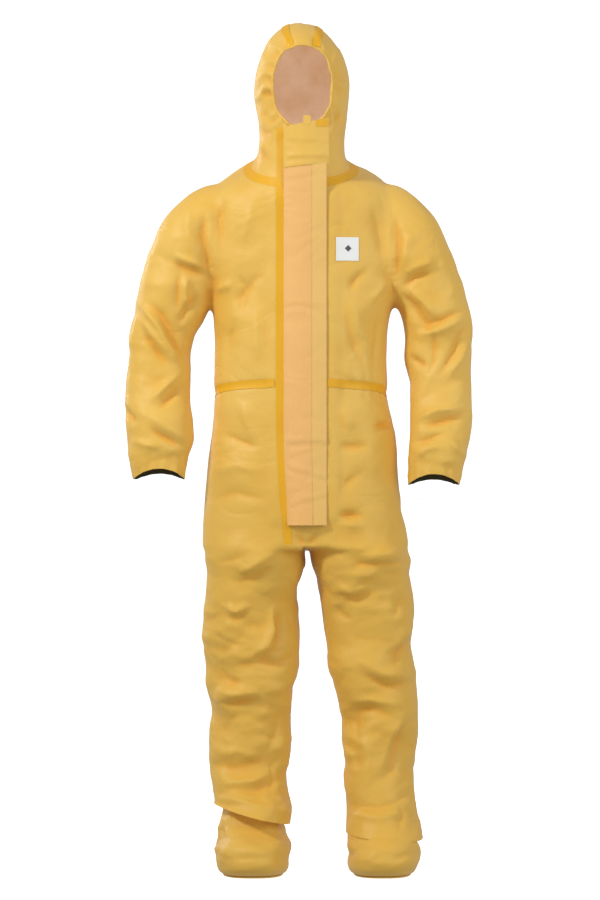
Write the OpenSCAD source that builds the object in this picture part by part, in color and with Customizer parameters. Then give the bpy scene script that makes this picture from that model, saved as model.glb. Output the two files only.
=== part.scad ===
// Hooded chemical protective coverall with attached socks, taped seams and a storm flap over the zip.
// Millimetres, +Z up, the wearer faces -Y, and the wearer's left is +X.
// The origin is the point between the wearer's shoulders that carries the suit, so the legs hang below it.
// Heights in the tables below are measured from the soles of the socks.

/* [Fabric] */
// Thickness of the coated fabric, as modelled
fabric_t = 2; // [1.5:0.5:2.5]
// Gap left along a seam between two pieces
seam_gap = 0.6; // [0.4:0.1:0.8]

/* [Seam tape] */
// Width of the tape over the seams
tape_w = 18; // [14:1:20]
// Thickness of the tape
tape_t = 0.8; // [0.6:0.1:1]

/* [Storm flap] */
// Width of the storm flap, from its seam to its free edge
flap_w = 92; // [84:1:96]
// Height of the flap's lower edge above the soles
flap_bottom = 743; // [735:1:760]
// Height of the flap's upper edge above the soles
flap_top = 1504; // [1495:1:1506]
// Angle that the front of the suit leans forward towards the hem
front_lean = 1.72; // [1.7:0.01:1.74]

/* [Zip] */
// Height of the zip's lower end above the soles
zip_bottom = 775; // [775:1:790]
// Height of the zip's upper end above the soles
zip_top = 1436; // [1425:1:1438]
// Width of each zip tape
zip_tape_w = 13; // [11:1:14]
// Length of the slider
slider_l = 15; // [12:1:18]

/* [Cuffs and socks] */
// Length of the dark inner cuff inside each sleeve end
inner_cuff_l = 16; // [12:1:18]
// Thickness of the sole of each sock
sole_t = 2.8; // [2:0.2:3]

/* [Hidden] */

shoulder_h = 1490;                // height of the origin above the soles
fabric = [0.90, 0.70, 0.26];
tape = [0.92, 0.66, 0.10];
flap_colour = [0.93, 0.70, 0.36];

// ---- Rings: a closed superellipse across a tube of fabric, as
// [centre, direction sideways, direction backwards, half width, half depth, power]
function ss(v, n) = sign(v) * pow(abs(v), 2 / n);
function on_ring(r, a, o) =
  r[0] + r[1] * ((r[3] + o) * ss(sin(a), r[5])) - r[2] * ((r[4] + o) * ss(cos(a), r[5]));
function level(z, cx, hw, yf, yb, n = 2.4) =
  [[cx, (yf + yb) / 2, z], [1, 0, 0], [0, 1, 0], hw, (yb - yf) / 2, n];
function dipped(cy, cz, dip, hw, hd, n = 2.3) = [[0, cy, cz], [1, 0, 0], [0, cos(dip), sin(dip)], hw, hd, n];
function across(inner, outer, yc, hd, lean, n = 2.2) =
  let (d = outer - inner, w = norm(d))
  [[(inner[0] + outer[0]) / 2, yc, (inner[1] + outer[1]) / 2], [d[0] / w, 0, d[1] / w],
   [d[1] / w * sin(lean), cos(lean), -d[0] / w * sin(lean)], w / 2, hd, n];
function mix(a, b, t) = a + (b - a) * t;
function mix_ring(a, b, t) = [for (i = [0:5]) mix(a[i], b[i], t)];
function ring_at(rows, z, i = 0) =
  i >= len(rows) - 2 || rows[i + 1][0][2] >= z
  ? mix_ring(rows[i], rows[i + 1], (z - rows[i][0][2]) / (rows[i + 1][0][2] - rows[i][0][2]))
  : ring_at(rows, z, i + 1);
// Angle from the front at which a ring is x sideways of its centre, or y in front of it
function angle_x(r, x) = asin(pow(min(1, x / r[3]), r[5] / 2));
function angle_y(r, y) = acos(pow(min(1, y / r[4]), r[5] / 2));
function each_row(rows, v) = [for (r = rows) v];

// ---- The suit's lines
function front_y(z) = -110 - (1450 - z) * tan(front_lean);

seat_rows = [
  level(693, 9, 223, front_y(702), 110), level(740, 4, 215, front_y(740), 121),
  level(762, 2, 212, front_y(762), 125), level(767, 2, 211, front_y(767), 126),
  level(830, 0, 204, front_y(830), 131), level(890, 0, 200, front_y(890), 130),
  level(950, 0, 193, front_y(950), 122), level(1000, 0, 187, front_y(1000), 112),
  level(1039, 0, 185, front_y(1039), 106)
];
chest_rows = [
  level(1041, 0, 185, front_y(1041), 106), level(1100, 0, 186, front_y(1100), 109),
  level(1160, 0, 187, front_y(1160), 114), level(1224, 0, 192, front_y(1224), 120),
  level(1240, 0, 200, front_y(1240), 122), level(1265, 0, 210, front_y(1265), 124),
  level(1300, 0, 219, front_y(1300), 125), level(1344, 0, 223, front_y(1344), 125),
  level(1390, 0, 219, front_y(1390), 122), level(1425, 0, 209, front_y(1425), 117),
  dipped(2, 1449, 6, 199, 112.6), dipped(0, 1466, 10, 190, 111.7),
  dipped(-3, 1484, 15, 160, 110.8), dipped(-7, 1502, 18.5, 112, 108.6)
];
hood_rows = [
  dipped(-7, 1503.2, 18.5, 109, 108), dipped(-5, 1530, 13, 97, 105), dipped(-3, 1568, 6, 92, 102),
  level(1603, 0, 92, -105, 104, 2.3), level(1614, 0, 93, -105, 108, 2.3),
  level(1640, 0, 98, -106, 117, 2.3), level(1685, 0, 102, -107, 125, 2.3),
  level(1725, 0, 95, -106, 120, 2.3), level(1750, 0, 84, -101, 110, 2.3),
  level(1767, 0, 75, -94, 101, 2.3), level(1785, 0, 62, -77, 89, 2.3), level(1797, 0, 49, -58, 74, 2.3)
];
upper_arm_rows = [
  across([234, 1091], [369, 1091], -4, 68, 5), across([226, 1150], [362, 1160], -2, 70, 2),
  across([217, 1196], [343, 1240], 0, 74, 0), across([211, 1214], [319, 1325], 2, 80, 0),
  across([205, 1222], [286, 1400], 4, 84, 0), across([201, 1226], [240, 1446], 5, 84, 0),
  across([196, 1228], [196, 1460], 5, 80, 0)
];
forearm_rows = [
  across([240, 848], [346, 848], -53, 46, 11.5), across([237, 872], [351, 872], -48, 50, 11.5),
  across([233, 905], [362, 905], -41, 61, 11.5), across([230, 961], [373, 961], -28, 66, 11.5),
  across([232, 1020], [371, 1020], -16, 67, 10), across([234, 1089.4], [369, 1089.4], -4, 68, 5)
];

// Each leg has its own stance: the wearer's right leg hangs straight and the left one stands outwards
right_leg = [[688, -105, 105], [588, -110, 102], [503, -109, 101], [463, -111, 99], [417, -112, 96],
             [332, -111, 86], [247, -114, 86], [215, -112, 81], [100, -107, 80], [60, -105, 81]];
left_leg = [[688, 124, 104], [588, 137, 98], [503, 142, 90], [463, 149, 89], [417, 154, 88],
            [332, 164, 80], [247, 166, 78], [215, 164, 77], [100, 174, 78], [60, 176, 78]];
leg_depth = [[688, -110, 106], [588, -100, 98], [503, -90, 88], [463, -88, 84], [417, -86, 86],
             [332, -78, 92], [247, -76, 88], [215, -80, 88]];
function at(table, z, col, i = 0) =
  i >= len(table) - 2 || table[i + 1][0] <= z
  ? mix(table[i][col], table[i + 1][col], (z - table[i][0]) / (table[i + 1][0] - table[i][0]))
  : at(table, z, col, i + 1);
function leg_of(s) = s > 0 ? left_leg : right_leg;
function leg_ring(s, z) =
  level(z, at(leg_of(s), z, 1), at(leg_of(s), z, 2), at(leg_depth, z, 1), at(leg_depth, z, 2), 2.3);
function leg_rows(s, heights) = [for (z = heights) leg_ring(s, z)];
// Foot of the sock: height, change in half width from the leg table, front and back
sock_shape = [[3.4, -20, -165, 72], [12, -8, -183, 84], [34, -2, -191, 89], [60, 0, -180, 90],
              [80, -3, -158, 90], [97, -8, -136, 88], [125, -11, -112, 84], [165, -12, -84, 79],
              [206, -13, -72, 76], [211.5, -13, -71, 76]];
function sock_rows(s) = [for (r = sock_shape)
  level(r[0], at(leg_of(s), max(r[0], 60), 1), at(leg_of(s), max(r[0], 60), 2) + r[1], r[2], r[3], 2.3)];
boot_flap_shape = [[100, 1, -140, 98], [135, 1, -118, 96], [175, 1, -96, 92], [212, 0, -80, 88]];
function boot_flap_rows(s) = [for (r = boot_flap_shape)
  level(r[0], at(leg_of(s), r[0], 1), at(leg_of(s), r[0], 2) + r[1], r[2], r[3], 2.3)];

// Armhole: half the depth of the opening in the side of the chest at height z
armhole_z = 1344;
armhole_half = 118;
armhole_depth = 80;
function armhole(z) = armhole_depth * sqrt(max(0, 1 - pow((z - armhole_z) / armhole_half, 2)));
function front_edge(r) = angle_y(r, armhole(r[0][2]));

// Face opening of the hood: half its width at height z
face_z = 1685;
face_half_h = 79;
face_half_w = 64;
function face(z) = face_half_w * pow(max(0, 1 - pow(abs(z - face_z) / face_half_h, 2.5)), 1 / 2.5);

// ---- Fabric between two angles on each row, from offset o0 inside to o1 outside; rows run upwards
module skin(rows, a0, a1, o0, o1, steps = 10, closed = false) {
  n = len(rows);
  w = closed ? steps : steps + 1;
  inner = n * w;
  points = [for (o = [o1, o0]) for (i = [0:n - 1]) for (k = [0:w - 1])
    on_ring(rows[i], mix(a0[i], a1[i], k / steps), o)];
  function p(side, i, k) = side * inner + i * w + k % w;
  function two(a, b, c, d) = [[a, b, c], [a, c, d]];
  faces = [
    for (i = [0:n - 2]) for (k = [0:steps - 1]) each concat(
      two(p(0, i, k), p(0, i + 1, k), p(0, i + 1, k + 1), p(0, i, k + 1)),
      two(p(1, i, k), p(1, i, k + 1), p(1, i + 1, k + 1), p(1, i + 1, k))),
    for (k = [0:steps - 1]) each concat(
      two(p(0, 0, k), p(0, 0, k + 1), p(1, 0, k + 1), p(1, 0, k)),
      two(p(0, n - 1, k), p(1, n - 1, k), p(1, n - 1, k + 1), p(0, n - 1, k + 1))),
    for (i = [0:n - 2]) if (!closed) each concat(
      two(p(0, i, 0), p(1, i, 0), p(1, i + 1, 0), p(0, i + 1, 0)),
      two(p(0, i, steps), p(0, i + 1, steps), p(1, i + 1, steps), p(1, i, steps)))
  ];
  polyhedron(points, faces, convexity = 6);
}
module tube(rows, o0, o1, steps = 24) skin(rows, each_row(rows, 0), each_row(rows, 360), o0, o1, steps, true);
module patch(rows, x0, x1, o0, o1, steps = 3)
  skin(rows, [for (r = rows) angle_x(r, x0)], [for (r = rows) angle_x(r, x1)], o0, o1, steps);
module placed() translate([0, 0, -shoulder_h]) children();
module sided(s) if (s < 0) mirror([1, 0, 0]) children(); else children();
// Frame on the front of the suit: x across, z up along the front's lean, -y out of the fabric
module on_front()
  placed() translate([0, -110, 1450]) rotate([-front_lean, 0, 0]) translate([0, 0, -1450]) children();
function band(rows, z0, z1) = [ring_at(rows, z0), ring_at(rows, z1)];

// ---- Jacket and seat
zip_half = zip_tape_w + 2;
module front_panel(s) color(fabric) placed() sided(s)
  skin(chest_rows, [for (r = chest_rows) angle_x(r, zip_half)],
       [for (r = chest_rows) front_edge(r) - seam_gap / 4], -fabric_t, 0, 9);
module back_panel() color(fabric) placed()
  skin(chest_rows, [for (r = chest_rows) 180 - front_edge(r) + seam_gap / 4],
       [for (r = chest_rows) 180 + front_edge(r) - seam_gap / 4], -fabric_t, 0, 18);
function hip_start(r, s) =
  r[0][2] > 765 ? angle_x(r, zip_half - s * r[0][0]) : angle_x(r, seam_gap / 2);
module hip_panel(s) color(fabric) placed()
  skin(seat_rows, [for (r = seat_rows) s > 0 ? hip_start(r, s) : 180.2],
       [for (r = seat_rows) s > 0 ? 179.8 : 360 - hip_start(r, s)], -fabric_t, 0, 14);
module crotch_gusset() color(fabric) placed() translate([12, 0, 690])
  linear_extrude(fabric_t) polygon([[0, -96], [34, 0], [0, 92], [-34, 0]]);
module waist_elastic() color("ivory") placed()
  skin([for (z = [1028, 1052]) ring_at(z < 1040 ? seat_rows : chest_rows, z)],
       [62, 62], [298, 298], -5.2, -3.6, 24);
module waist_seam_tape() color(tape) placed() {
  rows = band(chest_rows, 1042, 1042 + tape_w);
  skin(rows, [for (r = rows) angle_x(r, flap_w - 40)], each_row(rows, 179), 0.7, 0.7 + tape_t, 34);
  skin(rows, each_row(rows, 181), [for (r = rows) 360 - angle_x(r, 58)], 0.7, 0.7 + tape_t, 34);
}
module neck_seam_tape() color(tape) placed() {
  rows = [for (t = [0.55, 0.97]) mix_ring(chest_rows[12], chest_rows[13], t)];
  skin(rows, [for (r = rows) angle_x(r, flap_w - 38)], [for (r = rows) 360 - angle_x(r, 60)],
       0.9, 0.9 + tape_t, 60);
}
module flap_seam_tape() color(tape) placed() sided(-1)
  patch([for (z = [706, 770, 900, 1038.5]) ring_at(seat_rows, z)], 58 - tape_w, 58, 0.2, 0.2 + tape_t, 2);
module flap_seam_tape_chest() color(tape) placed() sided(-1)
  patch([for (z = [1041.5, 1160, 1300, 1424]) ring_at(chest_rows, z)], 58 - tape_w, 58, 0.2, 0.2 + tape_t, 2);
module chest_label() color("white") placed()
  patch([for (z = [1305, 1330, 1355]) ring_at(chest_rows, z)], 73, 123, 0.2, 1, 4);
module flap_adhesive_strip() color("ivory") on_front() translate([32, -1.6, 790]) cube([12, 0.8, 640]);

// ---- Zip, in the frame of the suit's front: teeth 2.8 thick, centred 0.5 inside the fabric's face
teeth_y = 0.5;
teeth_t = 2.8;
module zip_tape(s) color("goldenrod") on_front() sided(s)
  translate([2.8, teeth_y - 0.4, zip_bottom]) cube([zip_tape_w - 1.2, 0.8, zip_top - zip_bottom]);
module zip_teeth(s) color("gold") on_front() sided(s)
  translate([0.7, teeth_y - teeth_t / 2, zip_bottom]) cube([1.9, teeth_t, zip_top - zip_bottom]);
module zip_top_stops() color("gray") on_front() for (s = [1, -1]) sided(s)
  translate([0.7, teeth_y - 1.6, zip_top + 0.3]) cube([2.4, 3.2, 4]);
module zip_bottom_stop() color("gray") on_front()
  translate([-4, teeth_y - 1.6, zip_bottom - 7]) cube([8, 3.2, 6.6]);
slider_z = zip_top - 1;           // upper end of the slider when the zip is closed
plate_t = 1;
module zip_slider() color("silver") on_front() translate([0, teeth_y, slider_z - slider_l]) {
  for (side = [-1, 1]) {
    translate([-5.5, side * 2.2 - plate_t / 2, 0]) cube([11, plate_t, slider_l]);
    for (s = [-1, 1]) translate([s * 4.4 - 1.1, side * 1.5 - 0.8, 0]) cube([2.2, 1.6, slider_l]);
  }
  translate([-0.4, -2.2, slider_l - 5]) cube([0.8, 4.4, 5]);
  for (s = [-1, 1]) translate([s * 2.6 - 0.5, -4.9, slider_l - 6]) cube([1, 2.6, 3.4]);
}
// The pull hangs on a pin between the slider's two ears
pull_y = teeth_y - 3.9;
pull_z = slider_z - 4.3;
module zip_pull() color("silver") on_front() translate([0, pull_y, pull_z]) {
  rotate([0, 90, 0]) cylinder(h = 3.6, r = 0.6, center = true, $fn = 24);
  difference() {
    translate([-1.7, -0.5, -22]) cube([3.4, 1, 22]);
    translate([0, 0, -19]) rotate([90, 0, 0]) cylinder(h = 3, r = 1, center = true, $fn = 24);
  }
}

// ---- Flaps over the zip, hinged on their seam at the wearer's right and arched clear of the slider
flap_x = -40;
// Arch across a flap: distance from the seam as a share of the width, and height off the fabric
flap_arch = [[0, 1.2], [0.1, 6.5], [0.22, 9.6], [0.42, 11.4], [0.62, 10.4], [0.82, 7.6], [1, 4.2]];
function arch_y(t, i = 0) =
  flap_arch[i + 1][0] >= t
  ? mix(flap_arch[i][1], flap_arch[i + 1][1], (t - flap_arch[i][0]) / (flap_arch[i + 1][0] - flap_arch[i][0]))
  : arch_y(t, i + 1);
module arched(w, t0, t1, off, thick, z0, z1) {
  stops = concat([t0], [for (a = flap_arch) if (a[0] > t0 && a[0] < t1) a[0]], [t1]);
  translate([flap_x, 0, z0]) linear_extrude(z1 - z0) polygon(concat(
    [for (t = stops) [t * w, -arch_y(t) - off]],
    [for (i = [len(stops) - 1:-1:0]) [stops[i] * w, -arch_y(stops[i]) - off + thick]]));
}
module inner_flap() color(fabric) on_front() translate([-24, 7, 790]) cube([54, 1.4, 640]);
module storm_flap() color(flap_colour) on_front() arched(flap_w, 0, 1, 0, 1.2, flap_bottom, flap_top);
module flap_edge_strip() color(fabric) on_front()
  arched(flap_w, 0.66, 0.97, 1, 0.7, flap_bottom + 4, flap_top - 4);
module chin_flap() color(fabric) on_front() arched(flap_w + 4, 0, 1, 0, 1.2, flap_top + 3, flap_top + 91);
module chin_flap_tab() color(tape) on_front()
  arched(flap_w + 4, 0.72, 0.98, 1.1, 0.8, flap_top + 74, flap_top + 88);

// ---- Hood: two side panels and a crown strip between them
crown_half = 36;
function hood_start(z) = max(face(z), z > 1764 ? crown_half + 1.5 : seam_gap / 2);
module hood_side(s) color(fabric) placed() sided(s)
  skin(hood_rows, [for (r = hood_rows) angle_x(r, hood_start(r[0][2]))],
       [for (r = hood_rows) 180 - angle_x(r, crown_half + 1.5)], -fabric_t, 0, 11);
// The crown's line from the brow over the head to the nape: y, height, drop towards its edges
crown_line = [[-94, 1768, 8], [-77, 1785, 11], [-55, 1799, 12], [-25, 1812, 12], [8, 1819, 12],
              [40, 1814, 12], [72, 1799, 11], [99, 1772, 9], [119, 1730, 6], [125, 1685, 5],
              [117, 1640, 5], [104, 1603, 6], [99, 1575, 6], [98, 1550, 6]];
function crown_up(i) =
  let (a = crown_line[max(0, i - 1)], b = crown_line[min(len(crown_line) - 1, i + 1)],
       d = [b[0] - a[0], b[1] - a[1]])
  [-d[1], d[0]] / norm(d);
module crown(half, o0, o1, shift = 0) {
  n = len(crown_line);
  function at_x(i, x, o) = let (c = crown_line[i], u = crown_up(i), h = o - c[2] * pow(x / crown_half, 2))
    [x, c[0] + u[0] * h, c[1] + u[1] * h];
  side = [-half, -half / 2, 0, half / 2, half];
  points = [for (i = [0:n - 1]) for (o = [o1, o0]) for (x = side) at_x(i, x + shift, o)];
  function p(i, o, k) = i * 10 + o * 5 + k;
  function two(a, b, c, d) = [[a, b, c], [a, c, d]];
  polyhedron(points, [
    for (i = [0:n - 2]) for (k = [0:3]) each concat(
      two(p(i, 0, k), p(i + 1, 0, k), p(i + 1, 0, k + 1), p(i, 0, k + 1)),
      two(p(i, 1, k), p(i, 1, k + 1), p(i + 1, 1, k + 1), p(i + 1, 1, k))),
    for (i = [0:n - 2]) each concat(
      two(p(i, 0, 0), p(i, 1, 0), p(i + 1, 1, 0), p(i + 1, 0, 0)),
      two(p(i, 0, 4), p(i + 1, 0, 4), p(i + 1, 1, 4), p(i, 1, 4))),
    for (k = [0:3]) each concat(
      two(p(0, 0, k), p(0, 0, k + 1), p(0, 1, k + 1), p(0, 1, k)),
      two(p(n - 1, 0, k), p(n - 1, 1, k), p(n - 1, 1, k + 1), p(n - 1, 0, k + 1)))
  ], convexity = 6);
}
module hood_crown_panel() color(fabric) placed() crown(crown_half - 1.5, -fabric_t, 0);
module hood_seam_tapes() color(tape) placed() for (s = [-1, 1])
  crown(6, 0.4, 0.4 + tape_t, s * (crown_half - 10));
// A loop of elastic inside the rim of the face opening
rim_turns = 28;
rim_corners = [[1, -6], [7, -6], [7, -8.4], [1, -8.4]];
function rim_angle(r, x) = x < 0 ? -angle_x(r, -x) : angle_x(r, x);
function rim_at(x, z, o) = let (r = ring_at(hood_rows, z)) on_ring(r, rim_angle(r, x), o);
function rim(t, grow, o) =
  rim_at((face_half_w + grow) * ss(cos(t), 2.5), face_z + (face_half_h + grow) * ss(sin(t), 2.5), o);
module face_elastic() {
  points = [for (i = [0:rim_turns - 1]) for (c = rim_corners) rim(i * 360 / rim_turns, c[0], c[1])];
  function p(i, c) = (i % rim_turns) * 4 + c % 4;
  color("ivory") placed() polyhedron(points, [for (i = [0:rim_turns - 1]) for (c = [0:3]) each
    [[p(i, c), p(i, c + 1), p(i + 1, c + 1)], [p(i, c), p(i + 1, c + 1), p(i + 1, c)]]], convexity = 6);
}

// ---- Sleeves
module upper_sleeve(s) color(fabric) placed() sided(s) tube(upper_arm_rows, -fabric_t, 0);
module armhole_tape(s) color(tape) placed() sided(s)
  tube([for (t = [0.1, 0.9]) mix_ring(upper_arm_rows[5], upper_arm_rows[6], t)],
       -fabric_t - 0.3 - tape_t, -fabric_t - 0.3);
module lower_sleeve(s) color(fabric) placed() sided(s) tube(forearm_rows, -fabric_t, 0);
module inner_cuff(s) color([0.28, 0.28, 0.2]) placed() sided(s)
  tube(band(forearm_rows, 849, 849 + inner_cuff_l), -fabric_t - 1.4, -fabric_t - 0.3);
module wrist_elastic(s) color("ivory") placed() sided(s)
  tube(band(forearm_rows, 850, 858), -fabric_t - 3.2, -fabric_t - 1.8);

// ---- Legs
module thigh(s) color(fabric) placed() tube(leg_rows(s, [462, 503, 545, 588, 638, 688]), -fabric_t, 0);
module inseam_tape(s) color(tape) placed()
  skin(leg_rows(s, [466, 503, 588, 686]),
       [for (i = [1:4]) s > 0 ? 263 : 83], [for (i = [1:4]) s > 0 ? 277 : 97],
       -fabric_t - 1.6 - tape_t, -fabric_t - 1.6, 2);
module shin(s) color(fabric) placed() tube(leg_rows(s, [213, 247, 290, 332, 375, 417, 460.4]), -fabric_t, 0);
module boot_flap(s) color(fabric) placed() tube(boot_flap_rows(s), -fabric_t, 0);
module sock(s) color(fabric) placed() tube(sock_rows(s), -fabric_t, 0);
module sock_sole(s) color(fabric) placed() {
  r = sock_rows(s)[0];
  linear_extrude(sole_t) polygon([for (a = [0:10:350]) let (q = on_ring(r, a, 0)) [q[0], q[1]]]);
}

front_panel(1);  // front_left_panel
front_panel(-1);  // front_right_panel
back_panel();
hip_panel(1);  // hip_left_panel
hip_panel(-1);  // hip_right_panel
crotch_gusset();
waist_elastic();
inner_flap();
zip_tape(1);  // zip_tape_left
zip_tape(-1);  // zip_tape_right
zip_teeth(1);  // zip_teeth_left
zip_teeth(-1);  // zip_teeth_right
zip_top_stops();
zip_bottom_stop();
zip_slider();
zip_pull();
neck_seam_tape();
waist_seam_tape();
union() { flap_seam_tape(); flap_seam_tape_chest(); }
chest_label();
flap_adhesive_strip();
storm_flap();
flap_edge_strip();
chin_flap();
chin_flap_tab();
hood_side(1);  // hood_left_panel
hood_side(-1);  // hood_right_panel
hood_crown_panel();
hood_seam_tapes();
face_elastic();
upper_sleeve(1);  // upper_sleeve_left
upper_sleeve(-1);  // upper_sleeve_right
armhole_tape(1);  // armhole_tape_left
armhole_tape(-1);  // armhole_tape_right
lower_sleeve(1);  // lower_sleeve_left
lower_sleeve(-1);  // lower_sleeve_right
wrist_elastic(1);  // wrist_elastic_left
wrist_elastic(-1);  // wrist_elastic_right
inner_cuff(1);  // inner_cuff_left
inner_cuff(-1);  // inner_cuff_right
thigh(1);  // thigh_left
thigh(-1);  // thigh_right
inseam_tape(1);  // inseam_tape_left
inseam_tape(-1);  // inseam_tape_right
shin(1);  // shin_left
shin(-1);  // shin_right
boot_flap(1);  // boot_flap_left
boot_flap(-1);  // boot_flap_right
sock(1);  // sock_left
sock(-1);  // sock_right
sock_sole(1);  // sock_sole_left
sock_sole(-1);  // sock_sole_right
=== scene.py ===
import bpy
import bmesh
import math
import numpy as np
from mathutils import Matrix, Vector
from mathutils.bvhtree import BVHTree


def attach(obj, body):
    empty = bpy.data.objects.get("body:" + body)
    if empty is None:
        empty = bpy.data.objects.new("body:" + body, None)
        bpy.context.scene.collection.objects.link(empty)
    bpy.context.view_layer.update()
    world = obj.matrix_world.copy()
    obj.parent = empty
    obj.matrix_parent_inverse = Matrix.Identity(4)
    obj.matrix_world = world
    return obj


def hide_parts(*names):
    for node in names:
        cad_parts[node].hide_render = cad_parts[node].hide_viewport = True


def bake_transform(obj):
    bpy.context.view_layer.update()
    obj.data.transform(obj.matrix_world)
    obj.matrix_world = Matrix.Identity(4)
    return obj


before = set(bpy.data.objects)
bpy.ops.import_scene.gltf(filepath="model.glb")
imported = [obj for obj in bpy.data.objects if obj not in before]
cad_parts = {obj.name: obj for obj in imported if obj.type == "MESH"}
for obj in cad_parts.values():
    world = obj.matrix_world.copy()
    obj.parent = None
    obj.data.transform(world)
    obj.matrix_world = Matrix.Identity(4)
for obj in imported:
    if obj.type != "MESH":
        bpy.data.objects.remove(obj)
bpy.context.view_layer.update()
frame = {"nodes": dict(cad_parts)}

H = 1490.0                      # the origin's height above the soles, mm
LEAN = math.radians(1.72)       # how far the front leans forward towards the hem
FRONT_Y, FRONT_Z = -110.0, 1450.0       # a point of the leaning front, mm
MM = 0.001


# ------------------------------------------------------------------ helpers
def front_y(z):
    """How far forward the front lies at that height."""
    return FRONT_Y - (FRONT_Z - z) * math.tan(LEAN)


def to_row(co):
    """Model millimetres, heights from the soles, to the row frame in metres."""
    co = np.asarray(co, float).copy()
    co[..., 2] -= H
    return co * MM


def on_front(co):
    """Local (across, out of the fabric, up the leaning front) to model millimetres."""
    co = np.asarray(co, float)
    y, z = co[..., 1], co[..., 2] - FRONT_Z
    c, s = math.cos(LEAN), math.sin(LEAN)
    return np.stack([co[..., 0], FRONT_Y + y * c + z * s, FRONT_Z - y * s + z * c], -1)


def smooth01(t):
    t = np.clip(t, 0, 1)
    return t * t * (3 - 2 * t)


def hashed(cell, seed):
    """A number from -1 to 1 for each whole-numbered cell."""
    c = cell.astype(np.uint64)
    h = sum(c[..., k] * np.uint64(p) for k, p in enumerate((374761393, 668265263, 2246822519)))
    h = (h + np.uint64(seed * 3266489917 % 2**32)) & np.uint64(0xFFFFFFFF)
    for shift, factor in ((15, 2246822519), (13, 3266489917), (16, 668265263)):
        h = ((h ^ (h >> np.uint64(shift))) * np.uint64(factor)) & np.uint64(0xFFFFFFFF)
    h ^= h >> np.uint64(15)
    return h.astype(float) / 2**31 - 1


def soft_noise(co, size, seed):
    """Smooth noise from -1 to 1 with cells of that size in mm."""
    q = co / np.asarray(size, float) + 500
    c = np.floor(q).astype(np.int64)
    f = q - c
    f = f * f * (3 - 2 * f)
    out = np.zeros(len(co))
    for corner in np.ndindex(2, 2, 2):
        w = [f[:, k] if corner[k] else 1 - f[:, k] for k in range(3)]
        out += w[0] * w[1] * w[2] * hashed(c + corner, seed)
    return out


def facets(co, size, turn, seed):
    """Flat facets between straight creases, -1 to 1, their long side turned by an angle in the front view."""
    wob = np.stack([soft_noise(co, 90, seed + 40 + k) for k in range(3)], -1) * 14
    c, s = math.cos(math.radians(turn)), math.sin(math.radians(turn))
    p = co + wob
    x, y, z = p[:, 0], p[:, 1], p[:, 2]
    p = np.stack([x * c + z * s + 0.31 * y, y - 0.23 * z, -x * s + z * c + 0.17 * y], -1)
    q = p / np.asarray(size, float) + 500
    cell = np.floor(q).astype(np.int64)
    f = q - cell
    order = np.argsort(-f, axis=1)
    sorted_f = np.take_along_axis(f, order, 1)
    edges = np.concatenate([np.ones((len(f), 1)), sorted_f, np.zeros((len(f), 1))], 1)
    out = np.zeros(len(co))
    for k in range(4):
        out += (edges[:, k] - edges[:, k + 1]) * hashed(cell, seed)
        if k < 3:
            cell = cell.copy()
            cell[np.arange(len(cell)), order[:, k]] += 1
    return out


# ------------------------------------------------------------------ rings and tubes
# A row is a ring: its centre, the directions of its two half widths, those half widths and its squareness.
def level(z, x0, x1, yf, yb, n=2.4):
    return [(x0 + x1) / 2, (yf + yb) / 2, z, 1, 0, 0, 0, 1, 0, (x1 - x0) / 2, (yb - yf) / 2, n]


def fronted(z, x0, x1, yb):
    """A level ring whose front touches the leaning front."""
    return level(z, x0, x1, front_y(z), yb)


def dipped(cx, cy, cz, dip, hw, hd, n=2.3):
    d = math.radians(dip)
    return [cx, cy, cz, 1, 0, 0, 0, math.cos(d), math.sin(d), hw, hd, n]


def across(inner, outer, yc, hd, lean, n=2.2):
    dx, dz = outer[0] - inner[0], outer[1] - inner[1]
    w, a = math.hypot(dx, dz), math.radians(lean)
    return [(inner[0] + outer[0]) / 2, yc, (inner[1] + outer[1]) / 2, dx / w, 0, dz / w,
            dz / w * math.sin(a), math.cos(a), -dx / w * math.sin(a), w / 2, hd, n]


def tube(rows, around=72, steps=6):
    r = np.array(rows, float)
    pad = np.vstack([2 * r[0] - r[1], r, 2 * r[-1] - r[-2]])
    dense = []
    for i in range(len(r) - 1):
        p0, p1, p2, p3 = pad[i:i + 4]
        for k in range(steps):
            t = k / steps
            m1, m2 = (p2 - p0) / 2 * 0.8, (p3 - p1) / 2 * 0.8
            dense.append((2 * t**3 - 3 * t**2 + 1) * p1 + (t**3 - 2 * t**2 + t) * m1
                         + (-2 * t**3 + 3 * t**2) * p2 + (t**3 - t**2) * m2)
    dense.append(r[-1])
    d = np.array(dense)
    a = np.linspace(0, 2 * math.pi, around, endpoint=False)
    e = 2 / d[:, 11:12]
    sa = np.sign(np.sin(a)) * np.abs(np.sin(a)) ** e * d[:, 9:10]
    ca = np.sign(np.cos(a)) * np.abs(np.cos(a)) ** e * d[:, 10:11]
    p = d[:, None, 0:3] + d[:, None, 3:6] * sa[..., None] - d[:, None, 6:9] * ca[..., None]
    m, n = p.shape[:2]
    verts = np.vstack([p.reshape(-1, 3), p[0].mean(0), p[-1].mean(0)])
    faces = [(i * n + k, i * n + (k + 1) % n, (i + 1) * n + (k + 1) % n, (i + 1) * n + k)
             for i in range(m - 1) for k in range(n)]
    faces += [((k + 1) % n, k, m * n) for k in range(n)]
    faces += [((m - 1) * n + k, (m - 1) * n + (k + 1) % n, m * n + 1) for k in range(n)]
    return verts, faces


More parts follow.
